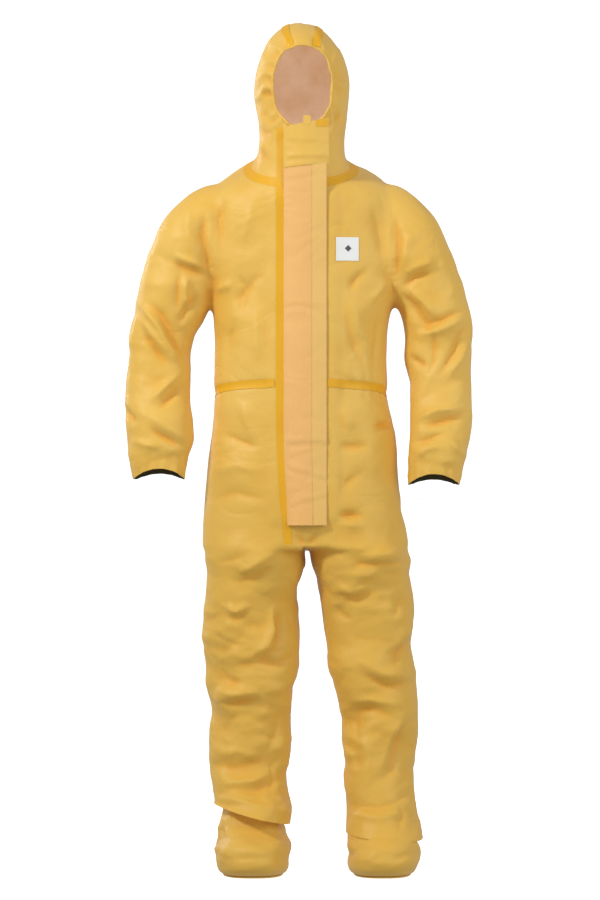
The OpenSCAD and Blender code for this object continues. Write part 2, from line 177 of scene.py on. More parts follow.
def make_mesh(name, verts, faces, normals=None, mats=(), mat_index=None):
    me = bpy.data.meshes.new(name)
    me.from_pydata([tuple(v) for v in verts], [], [tuple(f) for f in faces])
    for m in mats:
        me.materials.append(m)
    if mat_index is not None:
        me.polygons.foreach_set("material_index", np.asarray(mat_index, np.int32))
    me.polygons.foreach_set("use_smooth", np.ones(len(me.polygons), bool))
    me.update()
    if normals is not None:
        me.normals_split_custom_set_from_vertices([tuple(n) for n in normals])
    ob = bpy.data.objects.new(name, me)
    bpy.context.scene.collection.objects.link(ob)
    return ob


def fused(tubes, voxel):
    """The tubes as one closed surface of even quads."""
    bm = bmesh.new()
    for verts, faces, flip in tubes:
        vs = [bm.verts.new((v[0] * flip, v[1], v[2])) for v in verts]
        new = [bm.faces.new([vs[i] for i in f]) for f in faces]
        bmesh.ops.recalc_face_normals(bm, faces=new)
    me = bpy.data.meshes.new("fused")
    bm.to_mesh(me)
    bm.free()
    ob = bpy.data.objects.new("fused", me)
    bpy.context.scene.collection.objects.link(ob)
    mod = ob.modifiers.new("remesh", "REMESH")
    mod.mode = "VOXEL"
    mod.voxel_size = voxel
    mod.adaptivity = 0
    e = ob.evaluated_get(bpy.context.evaluated_depsgraph_get())
    out = bpy.data.meshes.new_from_object(e)
    co = np.array([v.co for v in out.vertices], float).reshape(-1, 3)
    faces = [tuple(p.vertices) for p in out.polygons]
    bpy.data.objects.remove(ob)
    bpy.data.meshes.remove(me)
    bpy.data.meshes.remove(out)
    return co, faces


class Net:
    """Edges of a mesh, for smoothing and for the crumpling below."""

    def __init__(self, co, faces):
        self.n = len(co)
        e = set()
        diag = []
        for f in faces:
            for i in range(len(f)):
                a, b = f[i], f[(i + 1) % len(f)]
                e.add((a, b) if a < b else (b, a))
            if len(f) == 4:
                diag += [(f[0], f[2]), (f[1], f[3])]
        self.e = np.array(sorted(e), np.int64)
        self.d = np.array(diag, np.int64).reshape(-1, 2)
        self.deg = np.bincount(self.e.ravel(), minlength=self.n).astype(float)
        self.faces = faces

    def mean(self, x):
        i, j = self.e[:, 0], self.e[:, 1]
        out = np.empty_like(x)
        if x.ndim == 1:
            return (np.bincount(i, x[j], self.n) + np.bincount(j, x[i], self.n)) / np.maximum(self.deg, 1)
        for k in range(x.shape[1]):
            out[:, k] = np.bincount(i, x[j, k], self.n) + np.bincount(j, x[i, k], self.n)
        return out / np.maximum(self.deg, 1)[:, None]

    def smooth(self, x, times, amount=0.5):
        for _ in range(times):
            x = x + amount * (self.mean(x) - x)
        return x


def vertex_normals(co, faces):
    f4 = np.array([tuple(f) if len(f) == 4 else (f[0], f[1], f[2], f[2]) for f in faces], np.int64)
    n = np.cross(co[f4[:, 2]] - co[f4[:, 0]], co[f4[:, 3]] - co[f4[:, 1]])
    tri = f4[:, 2] == f4[:, 3]
    n[tri] = np.cross(co[f4[tri, 1]] - co[f4[tri, 0]], co[f4[tri, 2]] - co[f4[tri, 0]])
    out = np.zeros_like(co)
    for k in range(4):
        sel = slice(None) if k < 3 else ~tri
        for c in range(3):
            out[:, c] += np.bincount(f4[sel, k], n[sel, c], len(co))
    return out / np.maximum(np.linalg.norm(out, axis=1), 1e-12)[:, None]


# ------------------------------------------------------------------ the suit's form
TORSO = [
    level(694, -213, 229, -127, 108, 2.5), level(740, -212, 221, -129, 119),
    fronted(790, -209, 212, 128), fronted(830, -206, 206, 131), fronted(890, -199, 203, 130),
    fronted(940, -193, 198, 124), fronted(990, -189, 186, 114), fronted(1020, -186, 180, 108),
    fronted(1045, -187, 182, 107), fronted(1100, -188, 180, 109), fronted(1160, -188, 183, 114),
    fronted(1224, -192, 195, 120), fronted(1265, -204, 207, 124), fronted(1344, -214, 216, 125),
    fronted(1390, -212, 213, 122), fronted(1425, -206, 206, 117),
    dipped(0, 2, 1450, 6, 198, 112.6), dipped(0, 0, 1466, 10, 186, 111.7),
    dipped(-2, -3, 1485, 15, 156, 110.8), dipped(-4, -7, 1503, 18.5, 112, 108.6),
    dipped(-4, -6, 1514, 17, 100, 107), dipped(-2, -5, 1530, 13, 94, 105), dipped(0, -3, 1568, 6, 92.5, 102),
    level(1603, -94, 95, -105, 104, 2.3), level(1640, -100, 98, -107, 117, 2.3),
    level(1685, -104, 100, -108, 125, 2.3), level(1725, -95, 92, -107, 120, 2.3),
    level(1750, -86, 84, -101, 110, 2.3), level(1767, -79, 72, -93, 101, 2.3),
    level(1785, -66, 59, -77, 88, 2.3), level(1799, -51, 46, -55, 72, 2.3),
    level(1809, -36, 34, -34, 52, 2.3), level(1815, -20, 18, -17, 33, 2.2)
]
ARM_R = [  # the wearer's right, given as if on +X
    across([252, 828], [356, 828], -57, 44, 11.5), across([252, 846], [358, 846], -53, 46, 11.5),
    across([249, 868], [363, 868], -49, 50, 11.5), across([243, 896], [370, 896], -43, 59, 11.5),
    across([235, 930], [377, 930], -35, 64, 11.5), across([234, 968], [380, 962], -27, 66, 11),
    across([238, 1012], [377, 1004], -17, 67, 10), across([241, 1058], [375, 1052], -9, 68, 8),
    across([239, 1101], [370, 1101], -4, 68, 5), across([228, 1147], [367, 1157], -2, 70, 2),
    across([212, 1180], [352, 1225], 0, 74, 0), across([201, 1204], [328, 1322], 2, 80, 0),
    across([195, 1216], [294, 1397], 4, 84, 0), across([190, 1224], [243, 1448], 5, 85, 0),
    across([180, 1229], [196, 1471], 5, 84, 0), across([150, 1230], [150, 1468], 5, 70, 0)
]
ARM_L = [
    across([227, 808], [330, 806], -61, 43, 11.5), across([227, 830], [333, 828], -57, 45, 11.5),
    across([225, 852], [338, 850], -52, 49, 11.5), across([226, 880], [345, 880], -46, 58, 11.5),
    across([228, 918], [356, 918], -38, 64, 11.5), across([229, 958], [364, 958], -28, 66, 11),
    across([230, 1007], [366, 1007], -17, 67, 10), across([228, 1048], [366, 1048], -9, 68, 8),
    across([217, 1092], [365, 1100], -4, 68, 5), across([221, 1142], [362, 1160], -2, 70, 2),
    across([212, 1181], [347, 1238], 0, 74, 0), across([203, 1200], [320, 1318], 2, 80, 0),
    across([198, 1214], [288, 1391], 4, 84, 0), across([192, 1222], [237, 1450], 5, 85, 0),
    across([182, 1227], [197, 1471], 5, 84, 0), across([150, 1230], [150, 1468], 5, 70, 0)
]


def leg_rows(table):
    """Rings of a leg from (height, centre, width)."""
    rows = []
    for z, c, w in table:
        yf = np.interp(z, [60, 100, 135, 175, 213, 247, 332, 417, 463, 503, 588, 640, 690, 760],
                       [-168, -150, -122, -97, -82, -78, -80, -87, -90, -94, -106, -116, -125, -110])
        yb = np.interp(z, [60, 100, 175, 213, 247, 332, 417, 503, 588, 688, 760],
                       [99, 98, 92, 88, 88, 92, 87, 89, 98, 106, 95])
        rows.append(level(z, c - w / 2, c + w / 2, float(yf), float(yb), 2.25))
    return rows


LEG_R = leg_rows([
    (60, -106, 166), (100, -107, 166), (150, -109, 163), (194, -111, 160), (220, -113, 166), (247, -115, 172),
    (290, -113, 172), (332, -110, 172), (375, -111, 184), (417, -112, 193), (460, -111, 198),
    (503, -109, 203), (588, -110, 205), (640, -106, 208), (673, -104, 214), (720, -98, 190), (765, -90, 150)])
LEG_L = leg_rows([
    (40, 175, 164), (80, 175, 163), (119, 173, 156), (150, 169, 150), (194, 163, 150), (220, 165, 152),
    (247, 167, 156), (290, 166, 156), (332, 164, 158), (375, 160, 168), (417, 155, 176), (460, 148, 178),
    (503, 142, 180), (588, 137, 195), (640, 131, 202), (673, 126, 211), (720, 112, 190), (765, 95, 150)])

VOXEL = 5.5
tubes = [tube(TORSO) + (1,), tube(ARM_R) + (-1,), tube(ARM_L) + (1,), tube(LEG_R) + (1,), tube(LEG_L) + (1,)]
co, faces = fused(tubes, VOXEL)
net = Net(co, faces)
co = net.smooth(co, 10)


# ------------------------------------------------------------------ masks
ARM_BOTTOM = 800                # both sleeves end above this height
ARMHOLE_X, ARMHOLE_Z = 190, 1215        # the armhole seam, and the height of its underside
ELBOW_Z, THIGH_Z, BOOT_TOP_Z = 1130, 560, 213   # seams round the sleeves and the legs
SIDE_Y, CROWN_X = 3, 36                 # the side seam's depth, the crown seams' distance from the middle
FRONT_GAP = 9                           # half the width of the opening behind the zip
GAP_LOW, GAP_HIGH = 768, 1438           # that opening's ends
MIDDLE_X = 6                            # where the left and right legs meet


def gap_at(z):
    """Where the middle of the gap between a sleeve and the body lies."""
    return np.interp(z, [1000, 1090, 1165, 1215], [212, 204, 203, 190])


def arm_mask(p):
    """1 in the sleeves, 0 in the jacket and hood."""
    x, z = np.abs(p[..., 0]), p[..., 2]
    below = (x > gap_at(z)) & (z > ARM_BOTTOM) & (z <= ARMHOLE_Z)
    return ((x > ARMHOLE_X) & (z > ARMHOLE_Z)) | below


NECK_N = Vector((0, -math.sin(math.radians(18.5)), math.cos(math.radians(18.5))))
NECK_P = Vector((0, -7, 1503.5))
WAIST_SLOPE = 0.184
WAIST_N = Vector((0, WAIST_SLOPE, 1)).normalized()
WAIST_P = Vector((0, -122, 1046))


def above(p, point, normal):
    return (np.asarray(p) - np.array(point)) @ np.array(normal)


def line_distance(q, pts):
    """Distance of 2-D points to a polyline, and how far along it the nearest place is, 0 to 1."""
    best = np.full(len(q), 1e9)
    along = np.zeros(len(q))
    seg = np.linalg.norm(np.diff(pts, axis=0), axis=1)
    total, at = seg.sum(), 0.0
    for i in range(len(pts) - 1):
        a, d = pts[i], pts[i + 1] - pts[i]
        t = np.clip(((q - a) @ d) / (d @ d), 0, 1)
        r = np.linalg.norm(q - a - t[:, None] * d, axis=1)
        m = r < best
        best[m] = r[m]
        along[m] = ((at + t * seg[i]) / total)[m]
        at += seg[i]
    return best, along


CUFF = {-1: (Vector((-304, -53, 842)), 8), 1: (Vector((279, -55, 830)), 8)}
CUFF_HALF, CUFF_RISE = 53, 16


def cuff_plane(s):
    p, lean = CUFF[s]
    a = math.radians(lean)
    return p, Vector((0, math.sin(a), math.cos(a)))


def boot_plane(s):
    # the boot flap's slanting lower edge
    if s < 0:
        return Vector((-110, 0, 133)), Vector((0.25, -0.04, 1)).normalized()
    return Vector((175, 0, 86)), Vector((0.08, -0.05, 1)).normalized()


FACE_C, FACE_A, FACE_B, FACE_N = (0.0, 1676.0), 63.5, 87.0, 2.35


def face(x, z):
    return (abs(x - FACE_C[0]) / FACE_A) ** FACE_N + (abs(z - FACE_C[1]) / FACE_B) ** FACE_N


# Folds seen from the front: their run in (x, height) mm, then width and height in mm.
# A positive height is a ridge, a negative one a crease.
FOLDS = [
    # the wearer's right sleeve
    ([(-205, 1420), (-210, 1355), (-200, 1290), (-196, 1260)], 9, -13),
    ([(-235, 1430), (-240, 1370), (-225, 1315)], 12, 7),
    ([(-277, 1322), (-235, 1299), (-200, 1281)], 9, 12),
    ([(-277, 1304), (-240, 1280), (-205, 1262)], 8, -12),
    ([(-261, 1290), (-268, 1213), (-251, 1196)], 8, -9),
    ([(-245, 1275), (-248, 1225), (-232, 1195)], 9, 8),
    ([(-215, 1235), (-238, 1205), (-262, 1170)], 11, -12),
    ([(-349, 1232), (-300, 1159), (-255, 1087)], 9, 13),
    ([(-325, 1225), (-280, 1160), (-240, 1100)], 10, -13),
    ([(-352, 1196), (-305, 1132), (-259, 1082)], 8, 8),
    ([(-345, 1165), (-310, 1110), (-275, 1075)], 8, -8),
    ([(-327, 1001), (-291, 1038), (-255, 1070)], 9, 10),
    ([(-310, 985), (-280, 1012), (-250, 1040)], 8, -8),
    ([(-327, 975), (-287, 950), (-241, 920)], 8, 9),
    ([(-335, 958), (-290, 932), (-250, 905)], 8, -8),
    ([(-376, 1000), (-362, 975), (-352, 955)], 8, -8),
    ([(-370, 930), (-335, 915), (-300, 905)], 9, 6),
    # the wearer's left sleeve
    ([(199, 1411), (203, 1354), (200, 1290), (201, 1250)], 9, -13),
    ([(238, 1361), (212, 1330), (212, 1280)], 9, 9),
    ([(276, 1277), (240, 1268), (208, 1245)], 9, -11),
    ([(285, 1300), (245, 1292), (215, 1275)], 9, 8),
    ([(204, 1236), (244, 1200), (266, 1169), (240, 1162)], 8, -12),
    ([(220, 1250), (262, 1215), (290, 1180)], 9, 9),
    ([(240, 1150), (294, 1160), (352, 1180)], 9, 11),
    ([(240, 1168), (294, 1178), (350, 1200)], 8, -8),
    ([(280, 1160), (276, 1097), (262, 1060)], 8, -7),
    ([(356, 1178), (329, 1115), (294, 1070), (276, 1052)], 9, -9),
    ([(362, 1150), (340, 1095), (305, 1050)], 9, 8),
    ([(222, 1105), (240, 1090), (262, 1080)], 7, -9),
    ([(240, 967), (285, 990), (338, 994)], 9, 9),
    ([(250, 950), (303, 968), (356, 985)], 9, -11),
    ([(231, 918), (266, 922), (311, 940)], 8, -8),
    ([(244, 882), (266, 904), (300, 912)], 8, 8),
    ([(300, 930), (330, 905), (350, 880)], 8, 6),
    # the chest
    ([(-147, 1285), (-120, 1249), (-150, 1213)], 8, -6),
    ([(-75, 1285), (-102, 1263), (-125, 1231), (-137, 1186)], 10, -7),
    ([(-137, 1186), (-152, 1140), (-165, 1096)], 12, -5),
    ([(-172, 1443), (-178, 1389), (-170, 1330)], 9, -6),
    ([(-95, 1440), (-120, 1385), (-132, 1330)], 12, 5),
    ([(-95, 1215), (-98, 1150), (-90, 1085)], 14, 5),
    ([(-150, 1262), (-172, 1250), (-188, 1240)], 10, 6),
    ([(83, 1214), (100, 1160), (132, 1075)], 12, -6),
    ([(100, 1225), (120, 1160), (150, 1100)], 12, 5),
    ([(145, 1295), (114, 1268), (96, 1232)], 9, -6),
    ([(165, 1200), (160, 1130), (150, 1060)], 12, -6),
    ([(150, 1430), (162, 1380), (166, 1300)], 12, -5),
    ([(182, 1265), (160, 1240), (140, 1215)], 10, 6),
    # the hips
    ([(-180, 936), (-135, 922), (-92, 911)], 9, -5),
    ([(55, 914), (100, 912), (145, 914)], 8, -7),
    ([(150, 952), (175, 956), (198, 952)], 7, -10),
    ([(-130, 1010), (-120, 960), (-100, 915)], 12, 5),
    ([(70, 1010), (90, 970), (110, 940)], 12, 5),
    ([(60, 900), (87, 828), (140, 873)], 14, -5),
    ([(50, 758), (85, 763), (130, 758)], 7, -12),
    ([(48, 742), (85, 745), (135, 738)], 9, 7),
    ([(-200, 855), (-140, 872), (-70, 862)], 14, 5),
    ([(-205, 795), (-140, 815), (-65, 800)], 14, -5),
    ([(-20, 745), (-5, 715), (5, 690)], 8, -10),
    ([(35, 740), (20, 710), (15, 690)], 8, -9),
    # the wearer's right leg
    ([(-138, 641), (-108, 656), (-53, 692)], 8, 10),
    ([(-150, 622), (-105, 632), (-45, 668)], 8, -9),
    ([(-195, 660), (-150, 668), (-100, 690)], 9, -7),
    ([(-172, 552), (-142, 542), (-108, 563)], 8, -9),
    ([(-170, 572), (-140, 560), (-105, 578)], 9, 9),
    ([(-58, 572), (-63, 522), (-79, 490), (-120, 460)], 8, 16),
    ([(-42, 560), (-45, 515), (-62, 478)], 9, -13),
    ([(-95, 455), (-48, 448), (-18, 470)], 9, -10),
    ([(-188, 440), (-151, 412), (-115, 412)], 8, -10),
    ([(-182, 403), (-142, 385), (-84, 393)], 8, 13),
    ([(-182, 373), (-151, 364), (-84, 376)], 8, -11),
    ([(-43, 367), (-58, 299), (-84, 252)], 10, -7),
    ([(-188, 279), (-162, 315), (-125, 356)], 10, -6),
    ([(-190, 250), (-140, 262), (-85, 245)], 12, 6),
    ([(-165, 184), (-105, 180), (-60, 196)], 8, -11),
    ([(-168, 200), (-110, 198), (-70, 212)], 8, 7),
    ([(-63, 247), (-53, 201), (-69, 164)], 8, -7),
    ([(-190, 168), (-120, 156), (-45, 128)], 8, 9),
    # the wearer's left leg
    ([(30, 703), (71, 698), (154, 693)], 8, 7),
    ([(102, 640), (123, 664), (232, 660)], 8, -11),
    ([(110, 680), (160, 682), (230, 680)], 9, 6),
    ([(71, 604), (92, 584), (128, 600), (165, 612)], 8, -10),
    ([(75, 622), (98, 604), (132, 620)], 8, 7),
    ([(71, 579), (81, 553), (102, 537)], 8, -9),
    ([(232, 600), (205, 570), (190, 540)], 10, -8),
    ([(232, 506), (201, 465), (190, 440)], 9, -11),
    ([(232, 535), (212, 500), (190, 478)], 10, 8),
    ([(112, 439), (175, 403), (237, 400)], 8, -9),
    ([(112, 462), (170, 428), (235, 422)], 9, 8),
    ([(92, 346), (154, 351), (211, 330)], 10, -11),
    ([(95, 372), (150, 374), (215, 358)], 9, 8),
    ([(242, 346), (211, 305), (190, 232), (165, 190)], 12, -17),
    ([(222, 345), (190, 295), (170, 235)], 9, 9),
    ([(92, 299), (134, 278), (144, 242), (134, 180)], 9, 9),
    ([(80, 285), (115, 262), (125, 222)], 9, -8),
    ([(100, 150), (160, 150), (222, 166)], 7, -9),
    ([(98, 132), (160, 130), (225, 140)], 8, 7),
    ([(237, 185), (216, 128), (206, 90)], 8, -9),
    # the hood
    ([(-93, 1664), (-80, 1660), (-67, 1658)], 5, -6),
    ([(-92, 1622), (-70, 1606), (-48, 1592)], 7, -7),
    ([(83, 1616), (75, 1606), (66, 1596)], 6, -6),
    ([(92, 1690), (84, 1676), (74, 1668)], 6, 4),
    ([(-90, 1590), (-70, 1570), (-58, 1562)], 6, -7),
    ([(-88, 1560), (-70, 1540), (-58, 1530)], 6, 6),
    ([(-85, 1535), (-68, 1518), (-56, 1510)], 6, -6),
    ([(88, 1585), (72, 1560), (62, 1540)], 7, -6),
    ([(62, 1592), (60, 1556), (58, 1522)], 6, -5)
]


def fold_field(p, nor):
    """Height of the listed folds over each point."""
    q = p[:, [0, 2]]
    facing = smooth01((0.3 - nor[:, 1]) / 0.7)
    wob = 5.0 * np.stack([soft_noise(p, 55, 3), soft_noise(p, 55, 5)], -1)
    out = np.zeros(len(p))
    arm = arm_mask(p)
    for pts, w, h in FOLDS:
        pts = np.array(pts, float)
        near = ((q > pts.min(0) - 4 * w) & (q < pts.max(0) + 4 * w)).all(1)
        if abs(pts[:, 0].mean()) > 186 and pts[:, 1].mean() > 800:
            near &= arm
        else:
            near &= ~arm
        if not near.any():
            continue
        r, t = line_distance(q[near] + wob[near], pts)
        ends = smooth01(t / 0.45 + 0.1) * smooth01((1 - t) / 0.45 + 0.1)
        if pts[:, 1].mean() < 700:
            h, w = h * (0.95 if h > 0 else 0.62), w * 1.25
        s = r / (1.3 * w)
        # a crest with wide feet
        out[near] += h * ends * np.exp(-1.6 * (np.sqrt(s * s + 0.03) - 0.173))
    return out * facing


nor = vertex_normals(co, faces)
base = co.copy()
arm = arm_mask(co)
z = co[:, 2]
hood = above(co, NECK_P, NECK_N) > 0
legs = ~arm & (z < 700)
# how freely each place folds: the hood and shoulders stay smooth, sleeves and legs crease most
free = np.where(arm | legs, 1.0, np.where(hood, 0.4, 0.3))
free = np.where(~arm & (z > 1390) & ~hood, 0.2, free)
free = np.where(arm & (z > 1330), 0.45, free)
free = np.where(~hood & ~arm & ~legs & (co[:, 1] > 30), 0.85, free)
free = np.where(hood & (co[:, 1] > 10), 0.6, free)
# the strip under the storm flap stays flat
under_flap = smooth01((96 - np.abs(co[:, 0] - 5)) / 30) * (co[:, 1] < -50) * smooth01((co[:, 2] - 700) / 40)
under_flap *= smooth01((1620 - co[:, 2]) / 30)
# and so does the label's patch
patch = smooth01(2.2 - np.hypot((co[:, 0] - 98) / 33, (co[:, 2] - 1330) / 33)) * (co[:, 1] < -50)
under_flap = np.maximum(under_flap, patch)
free = net.smooth(free, 8) * (1 - under_flap)
disp = 1.4 * fold_field(co, nor) * (1 - under_flap)
# the outline keeps closer to the form than the front and back do
free = free * (0.5 + 0.5 * np.abs(nor[:, 1]))
big = np.where(co[:, 0] > 0, facets(co, (170, 130, 74), 30, 11), facets(co, (170, 130, 74), -30, 12))
cross = facets(co, (130, 120, 80), -18, 13)
small = facets(co, (80, 70, 40), 14, 14)
tiny = facets(co, (40, 36, 24), -35, 15)
where_small = smooth01(soft_noise(co, 130, 16) * 1.5 + 0.5)
on_legs = smooth01((700 - co[:, 2]) / 60)
disp += free * (10 * big + (7 + 4 * on_legs) * cross + (4 + 5 * on_legs) * small * (0.3 + where_small)
                + (1.6 + 2 * on_legs) * tiny * (0.2 + where_small))
disp = 19 * np.tanh(disp / 19)
co = co + nor * disp[:, None]


def crumple(start, net, free, times, growth, bend=0.06, hold=0.01):
    """Lets the fabric be a little longer than the form it hangs on, so that it buckles along its folds."""
    pairs = np.vstack([net.e, net.d])
    i, j = pairs[:, 0], pairs[:, 1]
    d0 = start[j] - start[i]
    l0 = np.linalg.norm(d0, axis=1)
    up = np.abs(d0[:, 2]) / np.maximum(l0, 1e-9)
    f = (free[i] + free[j]) / 2
    rest = l0 * (1 + growth * f * (0.3 + 0.7 * up ** 2))
    count = np.bincount(pairs.ravel(), minlength=net.n)[:, None].astype(float)
    lap0 = net.mean(start) - start
    x = start.copy()
    for _ in range(times):
        d = x[j] - x[i]
        length = np.linalg.norm(d, axis=1)
        c = d * ((length - rest) / np.maximum(length, 1e-9) * 0.5)[:, None]
        move = np.empty_like(x)
        for k in range(3):
            move[:, k] = np.bincount(i, c[:, k], net.n) - np.bincount(j, c[:, k], net.n)
        x = x + 1.7 * move / count
        x = x + bend * ((net.mean(x) - x) - lap0)
        x = x - hold * (x - start)
    return x


# gathers: at the waist's sides and back, at the wrists and round the face opening
wz = above(co, WAIST_P, WAIST_N)
around_x = co[:, 0] + 0.8 * co[:, 1] + 10 * soft_noise(co, 40, 21)
gather = np.sin(around_x / 5.2) * np.exp(-(wz / 30) ** 2) * ~arm_mask(co)
gather *= 0.35 + 0.65 * smooth01((co[:, 1] + 60) / 60)
disp2 = 1.7 * gather * (1 - under_flap) - 3.0 * np.exp(-(wz / 9) ** 2) * ~arm_mask(co) * (1 - under_flap)
for side in (-1, 1):
    cuff_p, cuff_n = cuff_plane(side)
    dz = above(co, cuff_p, cuff_n)
    here = arm_mask(co) & (co[:, 0] * side > 0)
    turn = np.arctan2(co[:, 1] - cuff_p.y, (co[:, 0] - cuff_p.x))
    disp2 += here * 1.8 * np.sin(turn * 13 + 3 * soft_noise(co, 60, 22)) * np.exp(-np.clip(dz, 0, None) / 24)
fx, fz = co[:, 0] - FACE_C[0], co[:, 2] - FACE_C[1]
rim = (face(co[:, 0], co[:, 2]) ** (1 / FACE_N) - 1) * 72
turn = np.arctan2(fz / 1.3, fx)
front_hood = (co[:, 1] < -10) & (co[:, 2] > 1500)
pucker = 1 - 2 * np.abs(np.sin(turn * 9.5 + 3.4 * soft_noise(co, 60, 23))) ** 0.8
pucker *= 0.75 + 0.6 * soft_noise(co, 50, 24)
pucker *= 0.4 + 0.6 * smooth01(rim / 9)
near_rim = np.exp(-(np.clip(rim, 0, None) / 30) ** 1.5)
disp2 += front_hood * 5.5 * pucker * near_rim * smooth01(np.abs(co[:, 0]) / 34 - 0.1)
# the armhole seams pull in a little
near_seam = np.exp(-(np.abs(np.abs(co[:, 0]) - ARMHOLE_X) / 7))
disp2 -= 2.4 * near_seam * smooth01((co[:, 2] - ARMHOLE_Z) / 20) * smooth01((1450 - co[:, 2]) / 60)
co = co + vertex_normals(co, faces) * disp2[:, None]
co = crumple(co, net, free, 90, 0.04)
co = net.smooth(co, 1, 0.4)
# the fabric under the zip lies on the straight, leaning front
pin = smooth01((82 - np.abs(co[:, 0] - 4)) / 30) * (co[:, 1] < -60)
pin = pin * smooth01((co[:, 2] - 735) / 30) * smooth01((1462 - co[:, 2]) / 24)
co[:, 1] = co[:, 1] * (1 - pin) + (front_y(co[:, 2]) - 1.0) * pin

# sleeves and hips stay apart where they hang side by side
beside = (co[:, 2] < 1185) & (co[:, 2] > 715)
widening = 0.3 * np.clip(775 - co[:, 2], 0, None)
side_of = np.sign(co[:, 0])
in_arm = arm_mask(base) & beside
by_arm = ~arm_mask(base) & beside
gap = gap_at(co[:, 2])
co[:, 0] = np.where(in_arm, side_of * np.maximum(np.abs(co[:, 0]), gap + 2), co[:, 0])
co[:, 0] = np.where(by_arm, side_of * np.minimum(np.abs(co[:, 0]), gap - 2 + widening), co[:, 0])

# how deep each place lies in a fold, for the painted shade that tints the folds
soft = net.smooth(co, 14)
fold_shade = np.clip(((soft - co) * vertex_normals(soft, faces)).sum(1) / 3.5, 0, 1)


# ------------------------------------------------------------------ cutting the surface along its seams
bm = bmesh.new()
fold_shade_layer = bm.verts.layers.float.new("fold_shade")
vs = [bm.verts.new(tuple(v)) for v in co]
for v, d in zip(vs, fold_shade):
    v[fold_shade_layer] = d
for f in faces:
    bm.faces.new([vs[i] for i in f])
bm.normal_update()


def cut(where, point, normal):
    """Cuts the faces whose centre passes the test along a plane."""
    fs = [f for f in bm.faces if where(f.calc_center_median())]
    geom = set(fs)
    for f in fs:
        geom.update(f.edges)
        geom.update(f.verts)
    bmesh.ops.bisect_plane(bm, geom=list(geom), dist=0.05, plane_co=point, plane_no=normal)


def is_arm(c):
    x = abs(c.x)
    return (x > ARMHOLE_X and c.z > ARMHOLE_Z) or (x > gap_at(c.z) and ARM_BOTTOM < c.z <= ARMHOLE_Z)


ACROSS, UPWARD = (1, 0, 0), (0, 0, 1)


def hoodness(c):
    return (c - NECK_P).dot(NECK_N)


for s in (-1, 1):
    p, n = cuff_plane(s)
    cut(lambda c: c.x * s > 212 and c.z < 900, p, n)
    p, n = boot_plane(s)
    cut(lambda c: c.z < 200 and (c.x < 30) == (s < 0), p, n)
    cut(lambda c: c.x * s > 160 and c.z > 1205, (ARMHOLE_X * s, 0, 0), ACROSS)
    cut(lambda c: c.x * s > 200 and 1080 < c.z < 1180, (0, 0, ELBOW_Z), UPWARD)
    cut(lambda c: c.z > 1480 and (c.z > 1735 or c.y > 0) and abs(c.x) < 70, (CROWN_X * s, 0, 0), ACROSS)
    cut(lambda c: 740 < c.z < 1480 and c.y < -60 and abs(c.x) < 40, (FRONT_GAP * s, 0, 0), ACROSS)
cut(lambda c: abs(c.x) < 150 and 1430 < c.z < 1580, NECK_P, NECK_N)
cut(lambda c: not is_arm(c) and 960 < c.z < 1090, WAIST_P, WAIST_N)
cut(lambda c: not is_arm(c) and 1000 < c.z < 1560, (0, SIDE_Y, 0), (0, 1, 0))
cut(lambda c: c.z < 800 and c.z > 500, (0, 0, THIGH_Z), UPWARD)
cut(lambda c: c.z < 260 and c.z > 170, (0, 0, BOOT_TOP_Z), UPWARD)
cut(lambda c: c.z < 1080 and abs(c.x) < 60, (MIDDLE_X, 0, 0), ACROSS)
cut(lambda c: c.y < -40 and abs(c.x) < 40 and 720 < c.z < 790, (0, 0, GAP_LOW), UPWARD)
cut(lambda c: c.y < -40 and abs(c.x) < 40 and 1400 < c.z < 1460, (0, 0, GAP_HIGH), UPWARD)
cut(lambda c: c.y < 20 and abs(c.x) < 60 and 1430 < c.z < 1620, (0, 0, 0), ACROSS)


def panel_of(c):
    s = "left" if c.x > 0 else "right"
    if is_arm(c):
        p, n = cuff_plane(1 if c.x > 0 else -1)
        if (c - p).dot(n) < 0:
            return None
        return ("sleeve_top_" if c.z > ELBOW_Z else "sleeve_end_") + s
    if hoodness(c) > 0:
        if c.y < -20 and face(c.x, c.z) < 1:
            return None
        if abs(c.x) < CROWN_X and (c.y > 0 or c.z > 1755):
            return "hood_crown"
        return "hood_" + s
    if (c - WAIST_P).dot(WAIST_N) > 0:
        if c.y < -40 and abs(c.x) < FRONT_GAP and c.z < GAP_HIGH:
            return None
        return "back" if c.y > SIDE_Y else "chest_" + s
    s = "left" if c.x > MIDDLE_X else "right"
    if c.z > THIGH_Z:
        if c.y < -40 and abs(c.x) < FRONT_GAP and c.z > GAP_LOW:
            return None
        return "seat_" + s
    if c.z > BOOT_TOP_Z:
        return "leg_" + s
    p, n = boot_plane(1 if c.x > MIDDLE_X else -1)
    return "boot_flap_" + s if (c - p).dot(n) > 0 else None


bm.normal_update()
bm.verts.index_update()
allco = np.array([v.co for v in bm.verts], float)
all_fold_shade = np.array([v[fold_shade_layer] for v in bm.verts], float)
polys = [tuple(v.index for v in f.verts) for f in bm.faces]
labels = [panel_of(f.calc_center_median()) for f in bm.faces]
bm.free()


def split(co, polys):
    """Triangles of the polygons, quads cut along the shorter diagonal, and the polygon each comes from."""
    tris, source = [], []
    for k, f in enumerate(polys):
        if len(f) == 4 and np.sum((co[f[0]] - co[f[2]]) ** 2) > np.sum((co[f[1]] - co[f[3]]) ** 2):
            f = f[1:] + f[:1]
        for i in range(1, len(f) - 1):
            tris.append((f[0], f[i], f[i + 1]))
            source.append(k)
    return tris, source


polys, source = split(allco, polys)
labels = [labels[k] for k in source]

